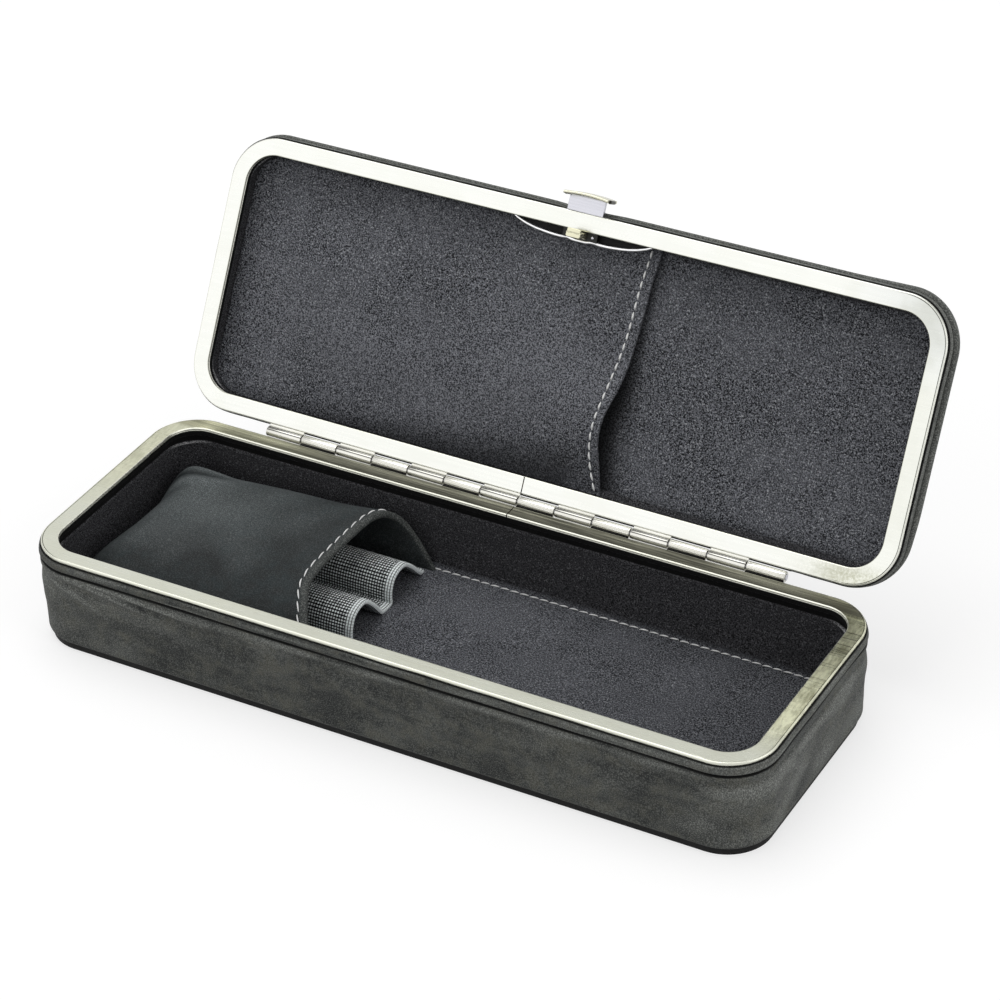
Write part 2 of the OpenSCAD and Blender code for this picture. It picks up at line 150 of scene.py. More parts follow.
def arcPoints(centre, radius, fromAngle, toAngle, steps):
    angle = np.radians(np.linspace(fromAngle, toAngle, steps + 1))
    radius = np.broadcast_to(radius, 2)
    return np.stack([centre[0] + radius[0] * np.cos(angle), centre[1] + radius[1] * np.sin(angle)], -1)


def smoothStep(low, high, value):
    t = np.clip((value - low) / (high - low), 0, 1)
    return t * t * (3 - 2 * t)


def blend(start, end, share):
    return start + (end - start) * share


def bell(value, centre, width):
    return np.exp(-((value - centre) / width) ** 2)


# Smooth curve through a few stations, with slopes taken from its neighbours
def throughStations(stations, values, at):
    stations, values = np.asarray(stations, float), np.asarray(values, float)
    slopes = np.gradient(values, stations)
    k = np.clip(np.searchsorted(stations, at, side="right") - 1, 0, len(stations) - 2)
    width = stations[k + 1] - stations[k]
    t = (at - stations[k]) / width
    a, b = values[k], values[k + 1]
    rise = (b - a) * (3 - 2 * t) * t * t
    return a + rise + width * t * (1 - t) * ((1 - t) * slopes[k] - t * slopes[k + 1])


# Distance from the start of a route to each of its points
def runLength(route):
    return np.concatenate([[0], np.cumsum(np.linalg.norm(np.diff(route, axis=0), axis=1))])


# Soft unevenness: a few seeded waves of about one size added up, between about -1 and 1
def ripple(u, v, size, seed, waves=7):
    rng = np.random.default_rng(seed)
    total = 0
    for _ in range(waves):
        heading, phase = rng.uniform(0, 2 * math.pi, 2)
        length = size * rng.uniform(0.7, 1.5)
        total = total + np.sin((u * math.cos(heading) + v * math.sin(heading)) * 2 * math.pi / length + phase)
    return total / math.sqrt(waves * 2)


# One grid of points as quads: closeU and closeV join its ends, capU and capV fill them
def gridPart(points, closeU=False, closeV=False, capU=False, capV=False):
    n, m = points.shape[:2]
    i, j = np.meshgrid(np.arange(n if closeU else n - 1), np.arange(m if closeV else m - 1), indexing="ij")
    i, j = i.ravel(), j.ravel()
    nextI, nextJ = (i + 1) % n, (j + 1) % m
    quads = np.stack([i * m + j, nextI * m + j, nextI * m + nextJ, i * m + nextJ], 1)
    stepU = np.linalg.norm(np.roll(points, -1, 0) - points, axis=2).mean(1)
    stepV = np.linalg.norm(np.roll(points, -1, 1) - points, axis=2).mean(0)
    u = np.concatenate([[0], np.cumsum(stepU)])
    v = np.concatenate([[0], np.cumsum(stepV)])
    corners = [(u[i], v[j]), (u[i + 1], v[j]), (u[i + 1], v[j + 1]), (u[i], v[j + 1])]
    uv = np.stack([np.stack(corner, -1) for corner in corners], 1)
    faces = [list(quad) for quad in quads.tolist()]
    uvs = uv.reshape(-1, 2)
    if capU:
        for row in (0, n - 1):
            faces.append([row * m + k for k in range(m)])
            uvs = np.concatenate([uvs, np.stack([np.full(m, u[row]), v[:m]], -1)])
    if capV:
        for column in (0, m - 1):
            faces.append([k * m + column for k in range(n)])
            uvs = np.concatenate([uvs, np.stack([u[:n], np.full(n, v[column])], -1)])
    return points.reshape(-1, 3), faces, uvs


# A mesh object from one or more grids, in metres, with its doubles merged and its normals outward
def makePiece(name, parts, sharpAngle=40, outward=True, marks=None):
    points, faces, uvs, start = [], [], [], 0
    for partPoints, partFaces, partUvs in parts:
        points.append(partPoints)
        faces += [[k + start for k in face] for face in partFaces]
        uvs.append(partUvs)
        start += len(partPoints)
    mesh = bpy.data.meshes.new(name)
    mesh.from_pydata(np.concatenate(points) * mm, [], faces)
    layer = mesh.uv_layers.new(name="UVMap")
    layer.data.foreach_set("uv", (np.concatenate(uvs) * mm).ravel())
    for label, values in (marks or {}).items():
        data = mesh.attributes.new(label, "FLOAT", "POINT").data
        data.foreach_set("value", np.asarray(values, float).ravel())
    work = bmesh.new()
    work.from_mesh(mesh)
    bmesh.ops.remove_doubles(work, verts=work.verts, dist=1e-7)
    if outward:
        bmesh.ops.recalc_face_normals(work, faces=work.faces)
    work.to_mesh(mesh)
    work.free()
    mesh.polygons.foreach_set("use_smooth", np.ones(len(mesh.polygons), dtype=bool))
    mesh.set_sharp_from_angle(angle=math.radians(sharpAngle))
    piece = bpy.data.objects.new(name, mesh)
    bpy.context.scene.collection.objects.link(piece)
    return piece


def finishPiece(piece, material, body, slot, *replaced):
    piece.data.materials.append(material)
    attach(piece, body)
    if replaced:
        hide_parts(*replaced)
    return piece


# Small block with rounded corners and edges: its outline carried over a rounded edge, ends filled
def blockPart(size, cornerRadius, edgeRadius, place, steps=4):
    half = np.array(size[:2]) / 2 - cornerRadius
    outline, outward = [], []
    for k, (sx, sy) in enumerate([(1, 1), (-1, 1), (-1, -1), (1, -1)]):
        turn = arcPoints((0, 0), 1, 90 * k, 90 * k + 90, steps)
        outward.append(turn)
        outline.append(turn * cornerRadius + half * (sx, sy))
    outline, outward = np.concatenate(outline), np.concatenate(outward)
    edge = arcPoints((edgeRadius, edgeRadius), edgeRadius, 270, 180, steps)
    inset = np.concatenate([edge[:, 0], edge[::-1, 0]])
    height = np.concatenate([edge[:, 1], size[2] - edge[::-1, 1]]) - size[2] / 2
    flat = outline[None] - inset[:, None, None] * outward[None]
    grid = np.concatenate([flat, np.broadcast_to(height[:, None, None], flat.shape[:2] + (1,))], -1)
    return gridPart(place(grid), closeV=True, capU=True)


# Round tube along a route, with its rows square to the route and its ends filled
def tubePart(route, radius, sides=10):
    along = np.gradient(route, axis=0)
    along /= np.linalg.norm(along, axis=1, keepdims=True)
    side = np.cross(along, [0, 0.3, 1.0])
    side /= np.linalg.norm(side, axis=1, keepdims=True)
    up = np.cross(side, along)
    angle = np.linspace(0, 2 * math.pi, sides, endpoint=False)
    around = np.cos(angle)[None, :, None] * side[:, None] + np.sin(angle)[None, :, None] * up[:, None]
    radius = np.broadcast_to(np.asarray(radius, float), len(route))
    return gridPart(route[:, None] + radius[:, None, None] * around, closeV=True, capU=True)


# Inputs go by name or number, each a plain value or another node's output; colours are given as three numbers
def feed(tree, node, inputs):
    for key, value in inputs.items():
        socket = node.inputs[key]
        if isinstance(value, bpy.types.NodeSocket):
            tree.links.new(value, socket)
        else:
            socket.default_value = (*value, 1.0) if socket.type == "RGBA" else value


def addNode(tree, kind, inputs, **settings):
    node = tree.nodes.new(kind)
    for key, value in settings.items():
        setattr(node, key, value)
    feed(tree, node, inputs)
    return node.outputs


def mathNode(tree, operation, a, b=0.5):
    return addNode(tree, "ShaderNodeMath", {0: a, 1: b}, operation=operation)[0]


def times(tree, a, b):
    return mathNode(tree, "MULTIPLY", a, b)


# Values added up, each times its weight
def weighed(tree, pairs):
    terms = [times(tree, value, weight) for value, weight in pairs]
    total = terms[0]
    for term in terms[1:]:
        total = mathNode(tree, "ADD", total, term)
    return total


def mixColour(tree, factor, a, b):
    return addNode(tree, "ShaderNodeMix", {0: factor, 6: a, 7: b}, data_type="RGBA")[2]


def rangeNode(tree, value, low, high, outLow=0.0, outHigh=1.0):
    inputs = {0: value, 1: low, 2: high, 3: outLow, 4: outHigh}
    return addNode(tree, "ShaderNodeMapRange", inputs, interpolation_type="SMOOTHSTEP")[0]


def noiseNode(tree, vector, scale, detail, roughness):
    inputs = {"Vector": vector, "Scale": scale, "Detail": detail, "Roughness": roughness}
    return addNode(tree, "ShaderNodeTexNoise", inputs)["Fac"]


def moved(tree, vector, **change):
    return addNode(tree, "ShaderNodeMapping", {"Vector": vector, **change})[0]


def markNode(tree, label):
    return addNode(tree, "ShaderNodeAttribute", {}, attribute_name=label)["Fac"]


def grey(level):
    return (level, level, level)


# A node group that takes a place and some numbers, and gives numbers
def newGroup(name, inputs, outputs):
    tree = bpy.data.node_groups.new(name, "ShaderNodeTree")
    tree.interface.new_socket("Vector", in_out="INPUT", socket_type="NodeSocketVector")
    for way, labels in (("INPUT", inputs), ("OUTPUT", outputs)):
        for label in labels:
            tree.interface.new_socket(label, in_out=way, socket_type="NodeSocketFloat")
    return tree, tree.nodes.new("NodeGroupInput").outputs, tree.nodes.new("NodeGroupOutput")


# Waxed hide: pale and dark blotches, a finer cloud that tints it, a short fibre speckle with its pits
def hideGroup():
    results = ["Tone", "Cloud", "Speckle", "Pit", "Height"]
    tree, given, put = newGroup("waxedHide", ["Blotch", "Grain"], results)
    place = given["Vector"]
    blotch = noiseNode(tree, place, given["Blotch"], 4.0, 0.6)
    cloudScale = times(tree, given["Blotch"], 5.5)
    cloud = noiseNode(tree, place, cloudScale, 4.0, 0.65)
    streak = noiseNode(tree, moved(tree, place, Scale=(0.22, 0.22, 1.0)), cloudScale, 3.0, 0.6)
    tone = weighed(tree, [(blotch, 0.42), (cloud, 0.28), (streak, 0.3)])
    speckle = noiseNode(tree, place, given["Grain"], 1.0, 0.6)
    cell = addNode(tree, "ShaderNodeTexVoronoi", {"Vector": place, "Scale": given["Grain"]})["Distance"]
    feed(tree, put, {
        "Tone": rangeNode(tree, tone, 0.41, 0.59), "Cloud": rangeNode(tree, cloud, 0.36, 0.62),
        "Speckle": rangeNode(tree, speckle, 0.5, 0.65), "Pit": rangeNode(tree, speckle, 0.5, 0.36),
        "Height": mathNode(tree, "ADD", speckle, times(tree, cell, 0.35)),
    })
    return tree


# Suede nap: short fibres brushed into soft patches
def napGroup():
    tree, given, put = newGroup("suedeNap", ["Fibre", "Patch"], ["Fibre", "Fleck", "Patch", "Height"])
    place = given["Vector"]
    fibre = noiseNode(tree, place, given["Fibre"], 2.0, 0.6)
    aside = moved(tree, place, Location=(0.31, 0.17, 0.23))
    fleck = noiseNode(tree, aside, times(tree, given["Fibre"], 0.95), 1.0, 0.5)
    patch = noiseNode(tree, place, given["Patch"], 3.0, 0.6)
    feed(tree, put, {
        "Fibre": rangeNode(tree, fibre, 0.43, 0.58), "Fleck": rangeNode(tree, fleck, 0.59, 0.71),
        "Patch": rangeNode(tree, patch, 0.38, 0.62), "Height": fibre,
    })
    return tree


# Brushed metal: lines along the case's length, short strokes in clumps, and slow clouds of tarnish
def brushedGroup():
    tree, given, put = newGroup("brushedLines", ["Fine"], ["Lines", "Strokes", "Tarnish"])
    place = given["Vector"]
    drawn = moved(tree, place, Scale=(0.025, 1.0, 1.0))
    lines = noiseNode(tree, drawn, times(tree, given["Fine"], 2600.0), 3.0, 0.7)
    strokes = noiseNode(tree, moved(tree, place, Scale=(0.8, 0.22, 1.0)), 2000.0, 2.0, 0.6)
    clumps = noiseNode(tree, place, 110.0, 2.0, 0.5)
    strokes = weighed(tree, [(strokes, 0.55), (clumps, 0.45)])
    tarnish = noiseNode(tree, place, 70.0, 3.0, 0.6)
    feed(tree, put, {
        "Lines": rangeNode(tree, lines, 0.3, 0.7), "Strokes": rangeNode(tree, strokes, 0.32, 0.7),
        "Tarnish": rangeNode(tree, tarnish, 0.35, 0.65),
    })
    return tree


waxedHide = hideGroup()
suedeNap = napGroup()
brushedLines = brushedGroup()


def newMaterial(name):
    material = bpy.data.materials.new(name)
    material.use_nodes = True
    tree = material.node_tree
    return material, tree, tree.nodes["Principled BSDF"], addNode(tree, "ShaderNodeTexCoord", {})["Object"]


def useGroup(tree, group, **inputs):
    return addNode(tree, "ShaderNodeGroup", inputs, node_tree=group)


def addBump(tree, shader, height, distance):
    inputs = {"Strength": 1.0, "Distance": distance, "Height": height}
    feed(tree, shader, {"Normal": addNode(tree, "ShaderNodeBump", inputs)[0]})


# A mark on the piece, which gives it other colours there, between a dark and a pale one
def markedColour(tree, colour, spot, between):
    changed = mixColour(tree, between, spot["dark"], spot["pale"])
    return mixColour(tree, times(tree, markNode(tree, spot["mark"]), spot["share"]), colour, changed)


# The listed marks on the piece, each with a share and the colours that the leather takes there: painted
# highlight and painted shade among them
def leatherMaterial(name, look, tints=()):
    material, tree, shader, place = newMaterial(name)
    hide = useGroup(tree, waxedHide, Vector=place, Blotch=look["blotch"], Grain=look["grain"])
    pale = mixColour(tree, hide["Cloud"], look["pale"], look["tint"])
    colour = mixColour(tree, hide["Tone"], look["dark"], pale)
    colour = mixColour(tree, times(tree, hide["Speckle"], look["speckle"]), colour, look["fleck"])
    for spot in tints:
        colour = markedColour(tree, colour, spot, hide["Speckle"])
    feed(tree, shader, {
        "Base Color": mixColour(tree, times(tree, hide["Pit"], look["speckle"]), colour, look["pit"]),
        "Roughness": rangeNode(tree, hide["Tone"], 0.0, 1.0, *look["roughness"]),
        "Specular IOR Level": look["specular"], "Sheen Weight": look["sheen"], "Sheen Roughness": 0.5,
        "Sheen Tint": look["sheenTint"],
    })
    addBump(tree, shader, hide["Height"], look["bump"])
    return material


def suedeMaterial(name, look, tints=()):
    material, tree, shader, place = newMaterial(name)
    nap = useGroup(tree, suedeNap, Vector=place, Fibre=look["fibre"], Patch=look["patch"])
    colour = mixColour(tree, nap["Fibre"], look["dark"], look["pale"])
    colour = mixColour(tree, times(tree, nap["Patch"], look["brushed"]), colour, look["stroke"])
    colour = mixColour(tree, nap["Fleck"], colour, look["fleck"])
    for spot in tints:
        colour = markedColour(tree, colour, spot, nap["Fibre"])
    feed(tree, shader, {
        "Base Color": colour, "Roughness": rangeNode(tree, nap["Patch"], 0.0, 1.0, 0.88, 0.98),
        "Specular IOR Level": 0.15, "Sheen Weight": look["sheen"], "Sheen Roughness": 0.6,
        "Sheen Tint": look["stroke"],
    })
    addBump(tree, shader, nap["Height"], look["bump"])
    return material


# Listed places where the metal takes other colours: the two ends per axis between which each goes,
# and the colours there; the bands along the base's hinge side are painted shade
def metalMaterial(name, look, tints=(), marked=()):
    material, tree, shader, place = newMaterial(name)
    brushed = useGroup(tree, brushedLines, Vector=place, Fine=look["fine"])
    axes = addNode(tree, "ShaderNodeSeparateXYZ", {"Vector": place})
    colour = mixColour(tree, times(tree, brushed["Tarnish"], 0.4), look["pale"], look["aged"])
    colour = mixColour(tree, times(tree, brushed["Lines"], look["lines"]), colour, look["scratch"])
    for spot in tints:
        inside = spot["share"]
        for axis, ends in spot["between"]:
            inside = times(tree, rangeNode(tree, axes[axis], *ends), inside)
        bare = mixColour(tree, brushed[spot["by"]], spot["pale"], spot["dark"])
        colour = mixColour(tree, inside, colour, bare)
    for spot in marked:
        colour = markedColour(tree, colour, spot, brushed["Lines"])
    roughness = rangeNode(tree, brushed["Lines"], 0.0, 1.0, *look["roughness"])
    feed(tree, shader, {"Base Color": colour, "Roughness": roughness, "Metallic": 1.0})
    addBump(tree, shader, brushed["Lines"], look["bump"])
    return material


def plainMetal(name, pale, aged, scratch, lines=0.25, roughness=(0.2, 0.3), bump=0.000004):
    return metalMaterial(name, {
        "pale": pale, "aged": aged, "scratch": scratch, "lines": lines, "fine": 1.0, "roughness": roughness,
        "bump": bump,
    })


# Painted shade: near black where a mark darkens grooves, creases and gaps between parts
paintedShadeSpot = {"mark": "paintedShade", "share": 1.0, "dark": grey(0.002), "pale": grey(0.005)}
# Paler colours for a mark that carries painted highlights and, on the collar, a paler tone of its own
paleHighlightSpot = {"mark": "highlightAndTone", "share": 0.85, "dark": (0.185, 0.193, 0.18), "pale": (0.36, 0.37, 0.35)}
coverLeather = leatherMaterial("coverLeather", {
    "dark": (0.03, 0.0325, 0.0322), "pale": (0.122, 0.1285, 0.122), "tint": (0.128, 0.1285, 0.111),
    "fleck": (0.27, 0.279, 0.258), "pit": (0.012, 0.013, 0.0124), "speckle": 0.42,
    "blotch": 52.0, "grain": 3300.0, "roughness": (0.62, 0.8), "specular": 0.14, "sheen": 0.04,
    "sheenTint": (0.75, 0.78, 0.74), "bump": 0.00014,
}, [paleHighlightSpot, paintedShadeSpot])
collarLeather = leatherMaterial("collarLeather", {
    "dark": (0.04, 0.0435, 0.0425), "pale": (0.13, 0.137, 0.13), "tint": (0.132, 0.131, 0.113),
    "fleck": (0.25, 0.259, 0.242), "pit": (0.012, 0.013, 0.0124), "speckle": 0.36,
    "blotch": 70.0, "grain": 3300.0, "roughness": (0.6, 0.76), "specular": 0.08, "sheen": 0.03,
    "sheenTint": (0.75, 0.78, 0.74), "bump": 0.0001,
}, [paleHighlightSpot, paintedShadeSpot])
pocketLeather = leatherMaterial("pocketLeather", {
    "dark": (0.0085, 0.0102, 0.0105), "pale": (0.026, 0.03, 0.0305), "tint": (0.024, 0.0308, 0.0325),
    "fleck": (0.1, 0.109, 0.111), "pit": (0.005, 0.0058, 0.006), "speckle": 0.3,
    "blotch": 45.0, "grain": 3300.0, "roughness": (0.48, 0.62), "specular": 0.12, "sheen": 0.02,
    "sheenTint": (0.7, 0.78, 0.8), "bump": 0.00006,
# The first mark is painted light and shade, the second the hem band
}, [{"mark": "pocketLight", "share": 1.0, "dark": (0.092, 0.104, 0.106), "pale": (0.19, 0.207, 0.21)},
    {"mark": "hem", "share": 1.0, "dark": (0.045, 0.049, 0.047), "pale": (0.15, 0.157, 0.15)}])
panelBlack = leatherMaterial("panelBlack", {
    "dark": grey(0.003), "pale": grey(0.007), "tint": grey(0.007), "fleck": grey(0.014), "pit": grey(0.002),
    "speckle": 0.4, "blotch": 60.0, "grain": 1500.0, "roughness": (0.6, 0.7), "specular": 0.2, "sheen": 0.0,
    "sheenTint": grey(1.0), "bump": 0.0001,
})
greySuede = suedeMaterial("greySuede", {
    "dark": (0.007, 0.0075, 0.009), "pale": (0.172, 0.178, 0.199), "stroke": (0.18, 0.186, 0.206),
    "fleck": (0.4, 0.41, 0.435), "brushed": 0.26, "fibre": 2700.0, "patch": 55.0, "sheen": 0.1,
    "bump": 0.00028,
# The glow mark is a painted highlight, the shade mark painted shade
}, [{"mark": "glow", "share": 1.0, "dark": (0.05, 0.052, 0.06), "pale": (0.3, 0.308, 0.34)},
    {"mark": "shade", "share": 1.0, "dark": (0.004, 0.0041, 0.0045), "pale": (0.018, 0.0185, 0.02)}])
blackSuede = suedeMaterial("blackSuede", {
    "dark": (0.007, 0.007, 0.0078), "pale": (0.076, 0.076, 0.083), "stroke": (0.036, 0.036, 0.039),
    "fleck": (0.15, 0.15, 0.158), "brushed": 0.4, "fibre": 2800.0, "patch": 45.0, "sheen": 0.05,
    "bump": 0.0002,
# The rim mark is partly pale scuffing, partly a painted highlight; the tape mark is the black tape
}, [{"mark": "rimHighlight", "share": 1.0, "dark": (0.12, 0.12, 0.126), "pale": (0.5, 0.5, 0.51)},
    {"mark": "tape", "share": 1.0, "dark": grey(0.003), "pale": grey(0.005)}])
# Painted highlight on the frames' rounded edges
edgeHighlightSpot = {"mark": "edgeHighlight", "share": 1.0, "dark": (0.6, 0.6, 0.52), "pale": (0.74, 0.74, 0.66)}
baseMetal = metalMaterial("baseMetal", {
    "pale": (0.615, 0.627, 0.55), "aged": (0.55, 0.557, 0.465), "scratch": (0.42, 0.422, 0.34),
    "lines": 0.34, "fine": 0.55, "roughness": (0.26, 0.38), "bump": 0.000002,
}, [
    {"between": [("X", (0.082, 0.094)), ("Y", (-0.031, -0.012))], "share": 1.0, "by": "Strokes",
     "pale": (0.78, 0.785, 0.57), "dark": (0.36, 0.357, 0.232)},
    {"between": [("X", (-0.086, -0.094)), ("Y", (-0.022, 0.014))], "share": 0.85, "by": "Strokes",
     "pale": (0.6, 0.6, 0.45), "dark": (0.42, 0.42, 0.3)},
    # Painted shade along the hinge side next to the knuckles, streaked by the brushed lines
    {"between": [("Y", (0.0296, 0.0318))], "share": 0.85, "by": "Lines",
     "pale": (0.42, 0.41, 0.275), "dark": (0.15, 0.146, 0.09)},
    {"between": [("Y", (0.0298, 0.0314)), ("X", (-0.08, -0.045))], "share": 0.92, "by": "Lines",
     "pale": (0.24, 0.235, 0.185), "dark": (0.03, 0.029, 0.022)},
], [edgeHighlightSpot, paintedShadeSpot])
lidMetal = metalMaterial("lidMetal", {
    "pale": (0.672, 0.677, 0.645), "aged": (0.63, 0.636, 0.585), "scratch": (0.56, 0.56, 0.51),
    "lines": 0.06, "fine": 0.8, "roughness": (0.26, 0.32), "bump": 0.0000006,
}, [
    {"between": [("X", (0.08, 0.094))], "share": 0.6, "by": "Tarnish",
     "pale": (0.635, 0.642, 0.59), "dark": (0.58, 0.586, 0.53)},
    {"between": [("X", (0.066, 0.094)), ("Z", (0.07, 0.084))], "share": 0.85, "by": "Tarnish",
     "pale": (0.58, 0.594, 0.58), "dark": (0.47, 0.482, 0.45)},
    {"between": [("X", (0.07, 0.09)), ("Z", (0.0355, 0.0312))], "share": 0.75, "by": "Strokes",
     "pale": (0.64, 0.645, 0.57), "dark": (0.27, 0.27, 0.17)},
], [edgeHighlightSpot, paintedShadeSpot])
hingeMetal = metalMaterial("hingeMetal", {
    "pale": (0.67, 0.665, 0.62), "aged": (0.56, 0.55, 0.48), "scratch": (0.24, 0.23, 0.2),
    "lines": 0.26, "fine": 0.3, "roughness": (0.16, 0.26), "bump": 0.000003,
}, marked=[paintedShadeSpot])
latchMetal = plainMetal("latchMetal", (0.52, 0.52, 0.56), (0.47, 0.47, 0.51), (0.4, 0.4, 0.43))
springWire = plainMetal(
    "springWire", (0.86, 0.86, 0.87), (0.8, 0.8, 0.81), grey(0.7), 0.1, (0.3, 0.4), 0.000002)
padMetal = plainMetal("padMetal", (0.62, 0.61, 0.5), (0.5, 0.49, 0.37), (0.38, 0.37, 0.28))
blackSteel = plainMetal("blackSteel", grey(0.02), (0.03, 0.03, 0.028), (0.06, 0.06, 0.055), 0.3, (0.35, 0.5))
# Dark metal for the pad's rolled ends, standing in for the shade inside the rolls
shadedRollMetal = plainMetal(
    "shadedRollMetal", (0.09, 0.09, 0.08), (0.06, 0.06, 0.05), (0.03, 0.03, 0.025), 0.3, (0.25, 0.4))
catchBrass = plainMetal(
    "catchBrass", (0.64, 0.625, 0.47), (0.55, 0.53, 0.38), (0.42, 0.4, 0.29),
    roughness=(0.25, 0.35), bump=0.000006)


# Sewing thread: two plies twisted round each other, with a painted highlight on their crowns
def threadMaterial():
    material, tree, shader = newMaterial("sewingThread")[:3]
    uv = addNode(tree, "ShaderNodeUVMap", {}, uv_map="UVMap")[0]
    turned = moved(tree, uv, Rotation=(0, 0, math.radians(35)))
    ply = addNode(tree, "ShaderNodeTexWave", {"Vector": turned, "Scale": 900.0, "Distortion": 0.6})["Fac"]
    colour = mixColour(tree, ply, (0.86, 0.86, 0.85), (1.0, 1.0, 0.99))
    feed(tree, shader, {"Base Color": colour, "Roughness": 0.75, "Sheen Weight": 0.5})
    addBump(tree, shader, ply, 0.00005)
    return material


# Woven elastic: pale dashes in rows on a dark ground and plain bands along the edge, counted by marks
def webbingMaterial():
    material, tree, shader, place = newMaterial("elasticWebbing")
    rib, dash = [
        mathNode(tree, "ABSOLUTE", mathNode(tree, "SINE", times(tree, markNode(tree, label), math.pi)))
        for label in ("row", "column")
    ]
    woven = times(tree, rangeNode(tree, rib, 0.52, 0.76), rangeNode(tree, dash, 0.42, 0.66))
    uneven = noiseNode(tree, place, 800.0, 2.0, 0.6)
    woven = times(tree, woven, rangeNode(tree, uneven, 0.32, 0.55, 0.5, 1.0))
    band = times(tree, rangeNode(tree, dash, 0.15, 0.6), rangeNode(tree, rib, 0.1, 0.6, 0.5, 1.0))
    choice = {0: markNode(tree, "selvage"), 2: woven, 3: band}
    weave = addNode(tree, "ShaderNodeMix", choice, data_type="FLOAT")[0]
    fibre = noiseNode(tree, place, 2400.0, 2.0, 0.6)
    pale = mixColour(tree, fibre, (0.88, 0.96, 0.96), (0.97, 1.0, 1.0))
    feed(tree, shader, {
        "Base Color": mixColour(tree, weave, (0.004, 0.005, 0.005), pale), "Roughness": 0.8,
        "Specular IOR Level": 0.1, "Sheen Weight": 0.05,
    })
    addBump(tree, shader, weave, 0.0001)
    return material


# Fibreboard inside the covers
def boardMaterial():
    material, tree, shader, place = newMaterial("fibreBoard")
    fleck = noiseNode(tree, place, 700.0, 4.0, 0.7)
    colour = mixColour(tree, fleck, (0.17, 0.12, 0.075), (0.34, 0.26, 0.17))
    feed(tree, shader, {"Base Color": colour, "Roughness": 0.85})
    addBump(tree, shader, fleck, 0.0001)
    return material


sewingThread = threadMaterial()
elasticWebbing = webbingMaterial()
fibreBoard = boardMaterial()
for material, names in (
    (fibreBoard, ["base_shell", "lid_shell", "floor_board"]), (latchMetal, ["hinge_pin", "latch_guide"]),
    (panelBlack, ["bottom_panel"]),
):
    for name in names:
        nodes[name].data.materials.clear()
        nodes[name].data.materials.append(material)
print("materials made")

# Metal frames: a bent channel with a doubled inner edge, butted at the middle of the hinge side
channel = {
    "faceWidth": 4.5, "sheet": 0.6, "flange": 3.2, "lip": 2.0, "edgeRadius": 0.35, "beadRadius": 0.19,
    "seam": 0.3, "slotWidth": 10.6, "slotTop": 0.62, "score": 0.16,
}


def frameProfile():
    r, face, sheet, bead = [channel[key] for key in ("edgeRadius", "faceWidth", "sheet", "beadRadius")]
    return np.concatenate([
        arcPoints((r, r), r, 180, 270, 6), [[r + 0.03, 0], [r + 0.12, channel["score"]], [r + 0.21, 0]],
        [[r + 0.3, 0], [face - r - 0.1, 0]], arcPoints((face - r, r), r, 270, 360, 6),
        [[face - 0.16, r + 0.06], [face - 0.16, r + 0.17]],
        arcPoints((face - bead, r + 0.36), bead, 300, 420, 5),
        [[face - 0.1, r + 0.6], [face - 0.1, channel["lip"]], [face - sheet, channel["lip"]],
         [face - sheet, sheet], [sheet, sheet], [sheet, channel["flange"]], [0, channel["flange"]]],
    ])


profile = frameProfile()
along = np.arange(len(profile))
# Painted highlights on the rounded edges, and painted shade as dark lines in the score and under the inner
# edge
edgeHighlight = np.where(along < 8, 0.35, np.where((along > 12) & (along < 27), 0.9, 0.0))
for half in ("base", "lid"):
    arc = outlineArcs(2.5, channel["seam"] / 2, roundTrip - channel["seam"] / 2, 0.8)
    if half == "lid":  # the flange and the lip stop short where the latch's plate passes
        reach = channel["slotWidth"] / 2 + np.array([0.02, 0, 0, 0.02])
        arc = np.unique(np.concatenate([arc, frontMiddle + np.array([-1, -1, 1, 1]) * reach]))
    x = outlineAt(arc)[0][:, 0]
    scored = smoothStep(82, 92, x if half == "lid" else np.abs(x))
    depth = np.tile(profile[:, 1], (len(arc), 1))
    depth[:, 8] *= scored
    if half == "lid":
        inSlot = np.abs(arc - frontMiddle) < channel["slotWidth"] / 2 + 0.01
        depth[inSlot] = np.minimum(depth[inSlot], channel["slotTop"])
    paintedShade = np.zeros(depth.shape)
    paintedShade[:, 8] = scored
    paintedShade[:, 19:21] = 1
    if half == "lid":  # painted shade on the rounding of the inner edge at the left
        paintedShade[:, 14:17] = 0.7 * smoothStep(-84, -93, x)[:, None]
    grid = carry(arc, profile[:, 0], depth, half)
    marks = {"edgeHighlight": np.tile(edgeHighlight, (len(arc), 1)), "paintedShade": paintedShade}
    piece = makePiece(half + "FrameRing", [gridPart(grid, closeV=True, capU=True)], 30, marks=marks)
    finishPiece(piece, {"base": baseMetal, "lid": lidMetal}[half], half, "frame_metal", half + "_frame")
print("frames made")

